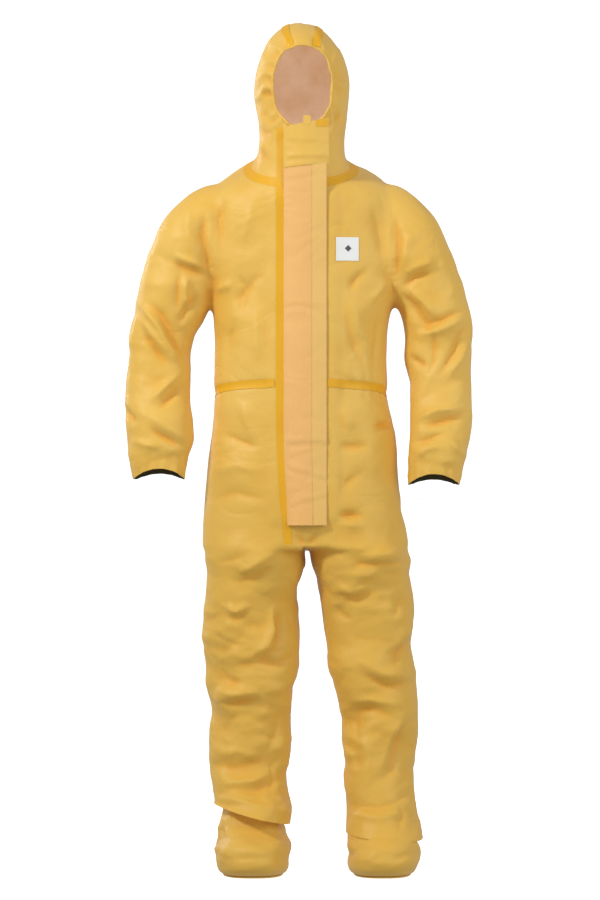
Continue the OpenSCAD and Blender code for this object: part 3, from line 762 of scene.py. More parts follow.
# the hood's rim: its edge points move onto the opening's outline
gone, kept = set(), set()
for f, l in zip(polys, labels):
    c = allco[list(f)].mean(0)
    if l is None and c[2] > 1500 and c[1] < -20:
        gone.update(f)
    elif l is not None and c[2] > 1500:
        kept.update(f)
for i in gone & kept:
    x, zz = allco[i, 0] - FACE_C[0], allco[i, 2] - FACE_C[1]
    turn = math.atan2(zz / 1.3, x)
    scallop = 0.016 * math.sin(turn * 22 + 2 * math.sin(turn * 5))
    k = face(allco[i, 0], allco[i, 2]) ** (-1 / FACE_N) * (1 + scallop + 0.012 * math.sin(turn * 9))
    allco[i, 0], allco[i, 2] = FACE_C[0] + x * k, FACE_C[1] + zz * k

# the cuffs' edges arch up between the two sides of the wrist
in_sleeve = np.zeros(len(allco), bool)
for f, l in zip(polys, labels):
    if l and l.startswith("sleeve_end"):
        in_sleeve[list(f)] = True
for k in (-1, 1):
    p, n = cuff_plane(k)
    d = above(allco, p, n)
    across_cuff = np.clip((allco[:, 0] - p.x) / CUFF_HALF, -1, 1)
    rise = CUFF_RISE * (1 - across_cuff ** 2) * np.clip(1 - d / 90, 0, 1) ** 1.5
    allco[:, 2] += np.where(in_sleeve & (allco[:, 0] * k > 0) & (d > -1), rise, 0)
allnor = vertex_normals(allco, polys)


def set_values(ob, name, values):
    at = ob.data.attributes.new(name, "FLOAT", "POINT")
    at.data.foreach_set("value", np.asarray(values, np.float32))


# painted shade: how much the colour darkens at each height, more towards the legs
def low_shade_share(height):
    return smooth01((1080 - height) / 500)


def tint(ob, fold_shade, low_shade):
    """The two values that the fabric's colour reads for its painted shade: how deep in a fold, how low on the
    suit.
    """
    set_values(ob, "fold_shade", fold_shade)
    set_values(ob, "low_shade", low_shade)


def outward_faces(ob):
    """Turns every face of a closed mesh outwards."""
    work = bmesh.new()
    work.from_mesh(ob.data)
    bmesh.ops.recalc_face_normals(work, faces=work.faces)
    work.to_mesh(ob.data)
    work.free()


def border(quads, offset):
    """Faces that join the open edges of a sheet to those of its inner face."""
    edges = {(q[a], q[(a + 1) % len(q)]) for q in quads for a in range(len(q))}
    return [(b, a, a + offset, b + offset) for (a, b) in sorted(edges) if (b, a) not in edges]


def two_faced(quads, count):
    """Faces of a thin sheet: the outer ones, the inner ones and the border."""
    rim = border(quads, count)
    inside = [tuple(i + count for i in reversed(q)) for q in quads]
    return quads + inside + rim, len(quads), len(rim)


def settle(ob, slot, body, *nodes):
    """Hides the CAD nodes the piece stands for and parents it to the body it rides on; for a blend between
    two bodies it only bakes the piece in place. slot is not used.
    """
    if nodes:
        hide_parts(*nodes)
    if isinstance(body, str):
        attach(ob, body)
    else:
        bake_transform(ob)
    return ob


def panel_mesh(name, wanted, mats, thick=0.6, lift=0.0):
    """A panel of fabric: the wanted faces, with an inner face and an edge all round."""
    fs = [f for f, l in zip(polys, labels) if (wanted(l, f) if callable(wanted) else l == wanted)]
    used = sorted({i for f in fs for i in f})
    index = {v: k for k, v in enumerate(used)}
    fs = [tuple(index[i] for i in f) for f in fs]
    outer = allco[used] + allnor[used] * lift
    inner = outer - allnor[used] * thick
    all_faces, count, rim = two_faced(fs, len(used))
    mi = [0] * count + [1 if len(mats) > 1 else 0] * count + [0] * rim
    normals = np.vstack([allnor[used], -allnor[used]])
    ob = make_mesh(name, to_row(np.vstack([outer, inner])), all_faces, normals, mats, mi)
    # painted shade: fold depth and height set the panel's tint
    tint(ob, np.tile(all_fold_shade[used], 2), np.tile(low_shade_share(allco[used][:, 2]), 2))
    return ob


def sheet_mesh(name, grid, out, thick, mats, closed=False):
    """A thin sheet over a grid of points: out says roughly which way its outer face looks."""
    g = np.asarray(grid, float)
    m, n = g.shape[:2]
    du = np.gradient(g, axis=1)
    dv = np.gradient(g, axis=0)
    if closed:
        dv = (np.roll(g, -1, 0) - np.roll(g, 1, 0)) / 2
    nrm = np.cross(du, dv)
    nrm /= np.maximum(np.linalg.norm(nrm, axis=2), 1e-9)[..., None]
    out = np.broadcast_to(np.asarray(out, float), nrm.shape)
    flip = (nrm * out).sum(2).mean() < 0
    if flip:
        nrm = -nrm
    pts = np.vstack([g.reshape(-1, 3), (g - nrm * thick).reshape(-1, 3)])
    k = m * n
    rows = m if closed else m - 1
    quads = [(i * n + j, i * n + j + 1, (i + 1) % m * n + j + 1, (i + 1) % m * n + j)
             for i in range(rows) for j in range(n - 1)]
    if flip:
        quads = [q[::-1] for q in quads]
    fs, count, rim = two_faced(quads, k)
    normals = np.vstack([nrm.reshape(-1, 3), -nrm.reshape(-1, 3)])
    mi = [0] * count + [1 if len(mats) > 1 else 0] * count + [0] * rim
    ob = make_mesh(name, to_row(pts), fs, normals, mats, mi)
    # painted shade: sheets take the low colour by height, with no fold tint
    tint(ob, np.zeros(len(pts)), low_shade_share(pts[:, 2]))
    return ob


skin_tree = BVHTree.FromPolygons([tuple(v) for v in allco], [f for f, l in zip(polys, labels) if l])


def ribbon(name, path, width, lift, thick, mats, closed=False, rows=5):
    """A strip of tape laid on the folded fabric along a path; a negative lift lays it inside."""
    p = np.array(path, float)
    nrm = np.empty_like(p)
    for i, v in enumerate(p):
        loc, n, _, _ = skin_tree.find_nearest(tuple(v))
        p[i], nrm[i] = loc, n
    for _ in range(4):
        q = nrm.copy()
        q[1:-1] += nrm[:-2] + nrm[2:]
        nrm = q / np.linalg.norm(q, axis=1)[:, None]
    tan = (np.roll(p, -1, 0) - np.roll(p, 1, 0)) if closed else np.gradient(p, axis=0)
    side = np.cross(nrm, tan)
    side /= np.linalg.norm(side, axis=1)[:, None]
    grid = []
    for k in np.linspace(-0.5, 0.5, rows):
        line = []
        for i in range(len(p)):
            loc, n, _, _ = skin_tree.find_nearest(tuple(p[i] + side[i] * k * width))
            line.append(np.array(loc) + nrm[i] * lift)
        grid.append(line)
    g = np.transpose(np.array(grid), (1, 0, 2))
    o = np.repeat(nrm[:, None, :], rows, 1)
    # smooth out the tape's own face a little, as it is stiffer than the fabric
    for _ in range(2):
        h = g.copy()
        h[1:-1] = (g[:-2] + 2 * g[1:-1] + g[2:]) / 4
        if closed:
            h[0], h[-1] = (g[-1] + 2 * g[0] + g[1]) / 4, (g[-2] + 2 * g[-1] + g[0]) / 4
        g = h
    g = g + o * 0.25 * (1 if lift > 0 else -1)
    return sheet_mesh(name, g, o, thick, mats, closed)


def round_the_body(origin, front, right, start, end, step=1.5):
    """Points where rays from inside meet the fabric: angle 0 looks to the front, 90 to the wearer's left."""
    pts = []
    for a in np.arange(start, end + 1e-6, step):
        d = Vector(front) * math.cos(math.radians(a)) + Vector(right) * math.sin(math.radians(a))
        loc = skin_tree.ray_cast(Vector(origin), d)[0]
        if loc is not None:
            pts.append(tuple(loc))
    return pts


# ------------------------------------------------------------------ materials
def material(name):
    m = bpy.data.materials.new(name)
    m.use_nodes = True
    nt = m.node_tree
    b = nt.nodes["Principled BSDF"]
    return m, nt, b


def add(nt, kind, **inputs):
    n = nt.nodes.new(kind)
    for k, v in inputs.items():
        n.inputs[k.replace("_", " ")].default_value = v
    return n


def tweak(nt, kind, source, operation, value=None, clamp=False):
    """A maths node with one linked input and one number."""
    n = nt.nodes.new(kind)
    n.operation = operation
    n.use_clamp = clamp
    if value is not None:
        n.inputs[1].default_value = value
    nt.links.new(source, n.inputs[0])
    return n.outputs[0]


def bump(nt, height, strength, distance, under=None):
    """A bump over the normal given by under; gives its own normal."""
    n = nt.nodes.new("ShaderNodeBump")
    n.inputs["Strength"].default_value = strength
    n.inputs["Distance"].default_value = distance
    nt.links.new(height, n.inputs["Height"])
    if under is not None:
        nt.links.new(under, n.inputs["Normal"])
    return n.outputs["Normal"]


def noise(nt, coords, scale, **inputs):
    n = add(nt, "ShaderNodeTexNoise", Scale=scale, **inputs)
    nt.links.new(coords, n.inputs["Vector"])
    return n


def ramp(nt, source, stops):
    r = nt.nodes.new("ShaderNodeValToRGB")
    el = r.color_ramp.elements
    el[0].position, el[0].color = stops[0][0], (*stops[0][1], 1)
    el[1].position, el[1].color = stops[-1][0], (*stops[-1][1], 1)
    for pos, c in stops[1:-1]:
        e = el.new(pos)
        e.color = (*c, 1)
    nt.links.new(source, r.inputs["Fac"])
    return r


def mixed(nt, fac, a, b):
    """A colour mix; fac is a socket, a and b are colours or sockets."""
    m = nt.nodes.new("ShaderNodeMix")
    m.data_type = "RGBA"
    nt.links.new(fac, m.inputs[0])
    for k, v in ((6, a), (7, b)):
        if isinstance(v, tuple):
            m.inputs[k].default_value = (*v, 1)
        else:
            nt.links.new(v, m.inputs[k])
    return m.outputs[2]


def attribute(nt, name):
    n = nt.nodes.new("ShaderNodeAttribute")
    n.attribute_name = name
    return n.outputs["Fac"]


def scaled(nt, value, factor):
    return tweak(nt, "ShaderNodeMath", value, "MULTIPLY", factor, True)


def fabric(name, light, dark, fold_shade=None, low_shade=None, rough=0.5, grain=0.25, crease=0.16, sheen=0.04, glow=0.0,
           ridge=0.0):
    """Coated fabric: blotches, fine grain and sharp little creases; the fold colour is painted shade in the
    folds, the low colour painted shade that darkens the legs.
    """
    m, nt, b = material(name)
    place = nt.nodes.new("ShaderNodeTexCoord").outputs["Object"]
    big = noise(nt, place, 7.0, Detail=4.0, Roughness=0.6)
    mid = tuple((p + q) / 2 for p, q in zip(dark, light))
    col = ramp(nt, big.outputs["Fac"], [(0.32, dark), (0.5, mid), (0.68, light)]).outputs["Color"]
    # painted shade: the colour darkens lower down, towards the legs
    if low_shade:
        col = mixed(nt, scaled(nt, attribute(nt, "low_shade"), 0.8), col, low_shade)
    # painted shade: the hollows of the folds turn a deeper orange
    if fold_shade:
        col = mixed(nt, scaled(nt, attribute(nt, "fold_shade"), 0.5), col, fold_shade)
    nt.links.new(col, b.inputs["Base Color"])
    weave = noise(nt, place, 900.0, Detail=2.0, Roughness=0.7)
    warp = noise(nt, place, 16.0, Detail=3.0)
    bent = nt.nodes.new("ShaderNodeMix")
    bent.data_type = "VECTOR"
    bent.inputs[0].default_value = 0.1
    nt.links.new(place, bent.inputs[4])
    nt.links.new(warp.outputs["Color"], bent.inputs[5])
    cells = add(nt, "ShaderNodeTexVoronoi", Scale=26.0)
    cells.feature = "DISTANCE_TO_EDGE"
    nt.links.new(bent.outputs[1], cells.inputs["Vector"])
    edge = nt.nodes.new("ShaderNodeMapRange")
    edge.inputs["From Max"].default_value = 0.09
    nt.links.new(cells.outputs["Distance"], edge.inputs["Value"])
    # long straight creases: the valleys of a stretched noise
    squeezed = nt.nodes.new("ShaderNodeMapping")
    squeezed.inputs["Rotation"].default_value = (0.2, 0.25, 0.3)
    squeezed.inputs["Scale"].default_value = (1.0, 1.0, 1.25)
    nt.links.new(place, squeezed.inputs["Vector"])
    waves = noise(nt, squeezed.outputs["Vector"], 7.5, Detail=2.0, Roughness=0.5, Distortion=0.7)
    middle = tweak(nt, "ShaderNodeMath", waves.outputs["Fac"], "SUBTRACT", 0.5)
    valley = tweak(nt, "ShaderNodeMath", middle, "ABSOLUTE")
    long_creases = bump(nt, valley, ridge, 0.022)
    creases = bump(nt, edge.outputs["Result"], crease, 0.001, long_creases)
    fine = bump(nt, weave.outputs["Fac"], grain, 0.0003, creases)
    nt.links.new(fine, b.inputs["Normal"])
    b.inputs["Roughness"].default_value = rough
    b.inputs["Specular IOR Level"].default_value = 0.3
    b.inputs["Sheen Weight"].default_value = sheen
    b.inputs["Sheen Roughness"].default_value = 0.5
    if glow:
        # light that comes through the thin fabric from outside
        nt.links.new(col, b.inputs["Emission Color"])
        b.inputs["Emission Strength"].default_value = glow
    return m


# painted shade: the fold colour and the low colour of the suit's yellow
YELLOW = fabric("suit_yellow", (0.79, 0.50, 0.105), (0.75, 0.445, 0.072), fold_shade=(0.78, 0.33, 0.02),
                low_shade=(0.70, 0.41, 0.06), ridge=0.32)
LINING = fabric("suit_lining", (0.80, 0.66, 0.54), (0.62, 0.43, 0.27), rough=0.7, sheen=0.0, glow=0.27,
                ridge=0.9)
# painted shade: the low colours of the flap and its edge strip darken them towards the legs
FLAPC = fabric("flap_peach", (0.84, 0.475, 0.16), (0.81, 0.455, 0.15), low_shade=(0.80, 0.44, 0.13), crease=0.12,
               ridge=0.35)
STRIPC = fabric("flap_strip", (0.83, 0.52, 0.155), (0.80, 0.49, 0.14), low_shade=(0.78, 0.47, 0.12), crease=0.1,
                ridge=0.3)
TAPE = fabric("seam_tape_gold", (0.80, 0.42, 0.018), (0.75, 0.375, 0.012), rough=0.55, crease=0.08, sheen=0.0)
ZIPTAPE = fabric("zip_tape_woven", (0.72, 0.42, 0.06), (0.66, 0.37, 0.05), rough=0.8, grain=0.6, crease=0.0)
TEETH = fabric("zip_teeth_plastic", (0.72, 0.44, 0.07), (0.70, 0.42, 0.06), rough=0.3, grain=0.0, crease=0.0,
               sheen=0.0)
DARK = fabric("cuff_dark", (0.075, 0.075, 0.035), (0.05, 0.05, 0.025), rough=0.85, sheen=0.0)
WHITE = fabric("label_white", (0.86, 0.86, 0.84), (0.82, 0.82, 0.80), rough=0.6, crease=0.05)
ELASTIC = fabric("elastic_ivory", (0.74, 0.70, 0.58), (0.68, 0.64, 0.52), rough=0.8, grain=0.6, crease=0.0)
STICKY = fabric("adhesive_strip", (0.80, 0.78, 0.70), (0.76, 0.73, 0.64), rough=0.25, crease=0.0, sheen=0.0)
MARK = fabric("label_mark", (0.09, 0.10, 0.11), (0.07, 0.08, 0.09), rough=0.5, crease=0.0)


def metal(name, colour, rough):
    m, nt, b = material(name)
    n = noise(nt, nt.nodes.new("ShaderNodeTexCoord").outputs["Object"], 260.0, Detail=3.0)
    dull = tuple(c * 0.85 for c in colour)
    shade = ramp(nt, n.outputs["Fac"], [(0.35, dull), (0.65, colour)]).outputs["Color"]
    nt.links.new(shade, b.inputs["Base Color"])
    nt.links.new(bump(nt, n.outputs["Fac"], 0.1, 0.0001), b.inputs["Normal"])
    b.inputs["Metallic"].default_value = 1.0
    b.inputs["Roughness"].default_value = rough
    return m


STEEL = metal("zip_metal", (0.62, 0.60, 0.56), 0.32)

# ------------------------------------------------------------------ panels
two = (YELLOW, LINING)
P = {}
for s in ("left", "right"):
    for n in ("sleeve_top_", "sleeve_end_", "chest_", "seat_", "leg_", "boot_flap_", "hood_"):
        P[n + s] = panel_mesh("v_" + n + s, n + s, two)
P["back"] = panel_mesh("v_back", "back", two)
P["hood_crown"] = panel_mesh("v_hood_crown", "hood_crown", two)

hood_blend = ("jacket", "hood", to_row((0, -7, 1503.5)), to_row((0, -36, 1590)))


def shoulder_blend(s, k):
    """The sleeve cap's turn, from the armhole's underside down the sleeve's inner side."""
    return "jacket", "arm_" + s, to_row((191 * k, 0, 1216)), to_row((256 * k, 0, 1178.5))


def hip_blend(s, k):
    return "jacket", "leg_" + s, to_row((8, 0, 690)), to_row((8 + k * 70, 0, 600))


for s, k in (("left", 1), ("right", -1)):
    knee = ("leg_" + s, "shank_" + s, to_row((0, 0, 540)), to_row((0, 0, 385)))
    elbow = ("arm_" + s, "forearm_" + s, to_row((0, 0, ELBOW_Z)), to_row((0, 0, 1040)))
    for panel, follows, nodes in (
            ("chest_", "jacket", [f"front_{s}_panel"]),
            ("seat_", hip_blend(s, k), [f"hip_{s}_panel", f"thigh_{s}"]),
            ("leg_", knee, [f"shin_{s}"]), ("boot_flap_", "shank_" + s, [f"boot_flap_{s}"]),
            ("sleeve_top_", shoulder_blend(s, k), [f"upper_sleeve_{s}"]),
            ("sleeve_end_", elbow, [f"lower_sleeve_{s}"]), ("hood_", hood_blend, [f"hood_{s}_panel"])):
        settle(P[panel + s], "suit_fabric", follows, *nodes)
settle(P["back"], "suit_fabric", "jacket", "back_panel")
settle(P["hood_crown"], "suit_fabric", hood_blend, "hood_crown_panel")


# ------------------------------------------------------------------ seam tapes
TAPE_W, TAPE_T = 18, 0.5
UP = (0, 0, 1)


def tape(name, path, body, nodes=(), width=TAPE_W, lift=0.25, mats=(TAPE,), slot="seam_tape", thick=TAPE_T):
    return settle(ribbon(name, path, width, lift, thick, mats), slot, body, *nodes)


def dense(points, step=5):
    """A smooth curve through the points, sampled every few mm."""
    p = np.array(points, float)
    at = np.concatenate([[0], np.cumsum(np.linalg.norm(np.diff(p, axis=0), axis=1))])
    t = np.arange(0, at[-1], step)
    return np.stack([np.interp(t, at, p[:, k]) for k in range(p.shape[1])], -1)


slope = Vector((0, -1, WAIST_SLOPE))
waist_origin = (0, -7, WAIST_P.z - WAIST_SLOPE * (-7 - WAIST_P.y))
LEFTWARD = (1, 0, 0)
waist_line = round_the_body(waist_origin, slope, LEFTWARD, 21, 334)
tape("v_waist_tape", waist_line, "jacket", ["waist_seam_tape"], lift=1.0)
back_waist = round_the_body(waist_origin, slope, LEFTWARD, 62, 298)
tape("v_waist_elastic", back_waist, "jacket", ["waist_elastic"],
     width=24, lift=-3.0, mats=(ELASTIC,), slot="elastic", thick=1.2)
neck_front = Vector((0, -NECK_N.z, NECK_N.y))
neck_line = round_the_body(NECK_P, neck_front, LEFTWARD, 27, 336)
tape("v_neck_tape", neck_line, hood_blend, ["neck_seam_tape"], width=20)


def seen_from_front(line):
    """Places on the fabric right behind (x, height) points of the front view."""
    pts = []
    for x, zz in line:
        hit = skin_tree.ray_cast(Vector((x, -300, zz)), Vector((0, 1, 0)))[0]
        if hit is not None:
            pts.append(tuple(hit))
    return pts


flap_line = dense([(-46, 1424), (-47, 1200), (-47, 1000), (-44, 880), (-38, 790), (-33, 740), (-28, 692)])
tape("v_flap_tape", seen_from_front(flap_line), "jacket", ["flap_seam_tape"])
collar_line = dense([(-47, 1588), (-46, 1540), (-46, 1500), (-46, 1418)])
tape("v_collar_tape", seen_from_front(collar_line), hood_blend, lift=0.6, width=19)
for s, k in (("left", 1), ("right", -1)):
    over = round_the_body((CROWN_X * k, 0, 1690), (0, -1, 0), UP, 62, 236)
    # in front the tapes run down to the rim, the wearer's right one slanting towards the middle
    at_rim = 29 if k > 0 else -26
    for step in range(1, 9):
        angle = math.radians(62 - step * 3.4)
        x = CROWN_X * k + (at_rim - CROWN_X * k) * smooth01(step / 7)
        hit = skin_tree.ray_cast(Vector((x, 0, 1690)), Vector((0, -math.cos(angle), math.sin(angle))))[0]
        if hit is not None:
            over.insert(0, tuple(hit))
    tape("v_crown_tape_" + s, over, hood_blend, ["hood_seam_tapes"] if k > 0 else (), lift=1.1)
    # the armhole's tape lies inside the sleeve, close to the seam
    sleeve_points = sorted({i for f, l in zip(polys, labels) if l == "sleeve_top_" + s for i in f})
    hole = [tuple(allco[i]) for i in sleeve_points
            if abs(allco[i][0] * k - ARMHOLE_X) < 0.06 and allco[i][2] > 1246]
    hole.sort(key=lambda c: (math.atan2(c[2] - 1345, c[1] - 5) + math.pi / 2) % (2 * math.pi))
    hole = dense(hole, 6)
    tape("v_armhole_tape_" + s, [(c[0] + 10 * k, c[1], c[2]) for c in hole], shoulder_blend(s, k),
         ["armhole_tape_" + s], lift=-1.6)
    leg = LEG_L if k > 0 else LEG_R
    inner = [(r[0] - k * (r[9] - 2), -2, r[2]) for r in leg if 455 < r[2] < 690]
    tape("v_inseam_tape_" + s, dense(inner[::-1]), hip_blend(s, k), ["inseam_tape_" + s], lift=-1.8)

# ------------------------------------------------------------------ cuffs
CUFF_LAYERS = (("wrist_elastic_", 16, -1.1, 0.5, ELASTIC, "elastic"),
               ("inner_cuff_", 60, -1.8, 0.8, DARK, "inner_cuff"))


def near_cuff(depth, label, p, n):
    return lambda l, f: l == label and 0 <= above(allco[list(f)].mean(0), p, n) < depth


for s, k in (("left", 1), ("right", -1)):
    for name, depth, lift, thick, mat, slot in CUFF_LAYERS:
        wanted = near_cuff(depth, "sleeve_end_" + s, *cuff_plane(k))
        ob = panel_mesh("v_" + name + s, wanted, (mat,), thick, lift)
        settle(ob, slot, "forearm_" + s, name + s)

# ------------------------------------------------------------------ hood rim
edge = set()
for f, l in zip(polys, labels):
    if l in ("hood_left", "hood_right", "hood_crown"):
        edge.update(zip(f, f[1:] + f[:1]))
rim_pts = {i for (a, b) in edge if (b, a) not in edge for i in (a, b)
           if allco[i][1] < -40 and allco[i][2] > 1560 and face(allco[i][0], allco[i][2]) < 1.25}
loop = sorted((tuple(allco[i]) for i in rim_pts), key=lambda c: math.atan2((c[2] - FACE_C[1]) / 1.3, c[0]))
loop = dense(loop + loop[:1], 4)
for _ in range(3):
    loop = (np.roll(loop, 1, 0) + 2 * loop + np.roll(loop, -1, 0)) / 4
tan = np.roll(loop, -1, 0) - np.roll(loop, 1, 0)
tan /= np.linalg.norm(tan, axis=1)[:, None]
centre = np.array([0, -40, FACE_C[1]])
outward = loop - centre
outward -= (outward * tan).sum(1)[:, None] * tan
outward /= np.linalg.norm(outward, axis=1)[:, None]
other = np.cross(tan, outward)


def round_rim(name, radius, inset, mats, around=10, wobble=0.0):
    """A soft roll along the face opening's edge."""
    rings = []
    r = radius * (1 + wobble * soft_noise(loop, 9, 31))
    for a in np.linspace(0, 2 * math.pi, around, endpoint=False):
        rings.append(loop - outward * inset + r[:, None] * (math.cos(a) * outward + math.sin(a) * other))
    g = np.transpose(np.array(rings), (1, 0, 2))
    m, n = g.shape[:2]
    fs = [(i * n + j, i * n + (j + 1) % n, (i + 1) % m * n + (j + 1) % n, (i + 1) % m * n + j)
          for i in range(m) for j in range(n)]
    pts = g.reshape(-1, 3)
    ob = make_mesh(name, to_row(pts), fs, None, mats)
    outward_faces(ob)
    tint(ob, np.zeros(len(pts)), np.zeros(len(pts)))
    return ob


settle(round_rim("v_face_hem", 2.6, 0.5, (YELLOW,), wobble=0.5), "suit_fabric", hood_blend)
elastic_rim = settle(round_rim("v_face_elastic", 1.4, 0.5, (ELASTIC,)), "elastic", hood_blend, "face_elastic")

# ------------------------------------------------------------------ flaps over the zip, in the front's frame
FLAP_X, FLAP_W = -40.0, 92.0
ARCH = np.array([[0, 1.2], [0.1, 6.5], [0.22, 9.6], [0.42, 11.4], [0.62, 10.4], [0.82, 7.6], [1, 4.2]])
arch_share = np.linspace(0, 1, 201)
arch_height = np.interp(arch_share, ARCH[:, 0], ARCH[:, 1]) + 1.8 * np.sin(arch_share * math.pi)
for _ in range(60):
    arch_height[1:-1] = (arch_height[:-2] + 2 * arch_height[1:-1] + arch_height[2:]) / 4


def flap_wave(x, zz, seed):
    p = np.stack([x, np.zeros_like(x), zz], -1).reshape(-1, 3)
    w = 1.1 * soft_noise(p, (60, 1, 95), seed) + 1.1 * facets(p, (46, 60, 70), 18, seed + 1)
    return w.reshape(x.shape)


def flap_grid(t0, t1, bottom, top, seed, off=0.0, nx=20, step=6.0, width=FLAP_W, creases=()):
    """Points of a flap from share t0 to t1 of its width; bottom and top give its ends' heights."""
    t = np.linspace(t0, t1, nx)
    count = int((np.mean(top(t)) - np.mean(bottom(t))) / step)
    v = np.linspace(0, 1, count)[:, None]
    zz = bottom(t) * (1 - v) + top(t) * v
    drift = 8 * smooth01((930 - zz) / 190) * (1 - t)
    x = FLAP_X + t * width + drift
    y = -np.interp(t, arch_share, arch_height) + 0 * zz
    fade = smooth01(t / 0.2)
    y = y - off + flap_wave(x, zz, seed) * fade
    for height, tilt, size in creases:
        d = zz - height - tilt * (x - 6)
        y = y - size * fade * (np.exp(-(d / 5) ** 2) - 0.8 * np.exp(-((d + 9) / 6) ** 2))
    return on_front(np.stack([x, y, zz], -1))


def level_end(zz, rise=0.0):
    return lambda t: zz + rise * t


def flap(name, grid, body, slot, mats, thick, nodes):
    return settle(sheet_mesh(name, grid, (0, -1, 0), thick, mats), slot, body, *nodes)


# creases across the flaps: height, tilt and size
FLAP_CREASES = ((924, 0.02, 2.2), (1490, 0.2, 1.0), (1215, 0.0, 0.7), (860, -0.3, 1.6), (800, 0.25, 1.2),
                (905, 0.3, 1.0))
CHIN_CREASES = ((1527, 0.02, 2.2), (1512, 0.14, 1.2), (1562, -0.05, 0.8))
FLAP_TOP = level_end(1502, 11)
STORM_SEED, CHIN_SEED = 51, 57


def storm_grid(t0, t1, bottom, top, **more):
    return flap_grid(t0, t1, level_end(bottom), top, STORM_SEED, **more)


def chin_grid(t0, t1, bottom, top, **more):
    return flap_grid(t0, t1, level_end(*bottom), level_end(*top), CHIN_SEED, width=FLAP_W + 4,
                     creases=CHIN_CREASES, **more)


flap("v_storm_flap", storm_grid(0, 1, 744, FLAP_TOP, creases=FLAP_CREASES, nx=24),
     "storm_flap", "flap_fabric", (FLAPC, YELLOW), 1.1, ["storm_flap"])
flap("v_flap_edge_strip", storm_grid(0.655, 0.985, 745, FLAP_TOP, off=0.75, creases=FLAP_CREASES, nx=12),
     "storm_flap", "flap_fabric", (STRIPC,), 0.7, ["flap_edge_strip"])
flap("v_flap_hem", storm_grid(0.02, 0.64, 744.5, level_end(768), off=0.5, nx=12, step=4),
     "storm_flap", "flap_fabric", (FLAPC,), 0.45, ())
flap("v_chin_flap", chin_grid(0, 1, (1501, 11), (1588, 19), off=1.9, nx=24, step=4),
     "chin_flap", "suit_fabric", (YELLOW, LINING), 1.1, ["chin_flap"])
flap("v_chin_flap_tab", chin_grid(0.72, 0.98, (1584, 5), (1599, 5), off=2.6, nx=10, step=3),
     "chin_flap", "seam_tape", (TAPE,), 0.6, ["chin_flap_tab"])
flap("v_chin_tab_small", chin_grid(0.44, 0.60, (1590, 3), (1610, 3), off=2.5, nx=8, step=3),
     "chin_flap", "suit_fabric", (YELLOW,), 0.6, ())


def flat_strip(x0, x1, nx, z0, z1, nz, y):
    """A flat strip in the front's frame."""
    x, z = np.meshgrid(np.linspace(x0, x1, nx), np.linspace(z0, z1, nz))
    return on_front(np.stack([x, y(x, z), z], -1))


inner = flat_strip(-24, 30, 12, 790, 1430, 110, lambda x, z: 7 + 0.5 * flap_wave(x, z, 61))
flap("v_inner_flap", inner, "inner_flap", "suit_fabric", (YELLOW, LINING), 1.0, ["inner_flap"])
flap("v_adhesive_strip", flat_strip(32, 44, 5, 790, 1430, 110, lambda x, z: -1.35 + 0 * x),
     "jacket", "adhesive", (STICKY,), 0.3, ["flap_adhesive_strip"])

# ------------------------------------------------------------------ zip
ZIP_BOTTOM, ZIP_TOP, TEETH_Y = 775.0, 1436.0, 0.5


def boxes(name, corners, mats):
    """Boxes from pairs of opposite corners in the front's frame."""
    verts, fs = [], []
    for lo, hi in corners:
        i = len(verts)
        verts += [(x, y, zz) for zz in (lo[2], hi[2]) for y in (lo[1], hi[1]) for x in (lo[0], hi[0])]
        fs += [tuple(i + j for j in q) for q in
               ((0, 2, 3, 1), (4, 5, 7, 6), (0, 1, 5, 4), (2, 6, 7, 3), (0, 4, 6, 2), (1, 3, 7, 5))]
    ob = make_mesh(name, to_row(on_front(verts)), fs, None, mats)
    ob.data.polygons.foreach_set("use_smooth", np.zeros(len(fs), bool))
    tint(ob, np.zeros(len(verts)), np.zeros(len(verts)))
    return ob


PITCH = 3.2


def zip_box(k, x0, x1, half, z0, z1):
    """Opposite corners of a box beside the zip's middle."""
    return ((min(x0 * k, x1 * k), TEETH_Y - half, z0), (max(x0 * k, x1 * k), TEETH_Y + half, z1))


for s, k in (("left", 1), ("right", -1)):
    x_t, z_t = np.meshgrid(np.linspace(2.6, 14.6, 7) * k, np.linspace(ZIP_BOTTOM, ZIP_TOP, 130))
    flap("v_zip_tape_" + s, on_front(np.stack([x_t, 0.15 + 0 * x_t, z_t], -1)), "jacket", "zip_tape",
         (ZIPTAPE,), 0.7, ["zip_tape_" + s])
    n_teeth = int((ZIP_TOP - ZIP_BOTTOM) / PITCH)
    offset = 0.15 if k > 0 else PITCH / 2 + 0.15
    starts = [ZIP_BOTTOM + i * PITCH + offset for i in range(n_teeth - 1)]
    corners = [zip_box(k, 0.75, 2.6, 1.4, z0, z0 + 1.7) for z0 in starts]
    corners.append(zip_box(k, 2.2, 2.7, 0.9, ZIP_BOTTOM, ZIP_TOP))
    settle(boxes("v_zip_teeth_" + s, corners, (TEETH,)), "zip_teeth", "jacket", "zip_teeth_" + s)
nodes = frame["nodes"]
for n in ("zip_slider", "zip_pull", "zip_top_stops", "zip_bottom_stop"):
    nodes[n].data.materials.clear()
    nodes[n].data.materials.append(STEEL)

# ------------------------------------------------------------------ label with a plain mark
label_path = [(98, -122, zz) for zz in np.arange(1355, 1304.9, -5)]
tape("v_chest_label", label_path, "jacket", ["chest_label"], width=50, lift=0.8, mats=(WHITE,), slot="label")
MARK_X, MARK_Z, MARK_R = 97, 1331, 7
mark_pts = np.array([[(MARK_X + MARK_R * b * (1 - abs(a)), 0, MARK_Z + MARK_R * a)
                      for b in (-1, -0.5, 0, 0.5, 1)] for a in np.linspace(-1, 1, 7)])
for row in mark_pts:
    for v in row:
        hit = skin_tree.ray_cast(Vector((v[0], -300, v[2])), Vector((0, 1, 0)))[0]
        v[1] = hit.y - 1.6
mark = settle(sheet_mesh("v_label_mark", mark_pts, (0, -1, 0), 0.15, (MARK,)), "label", "jacket")

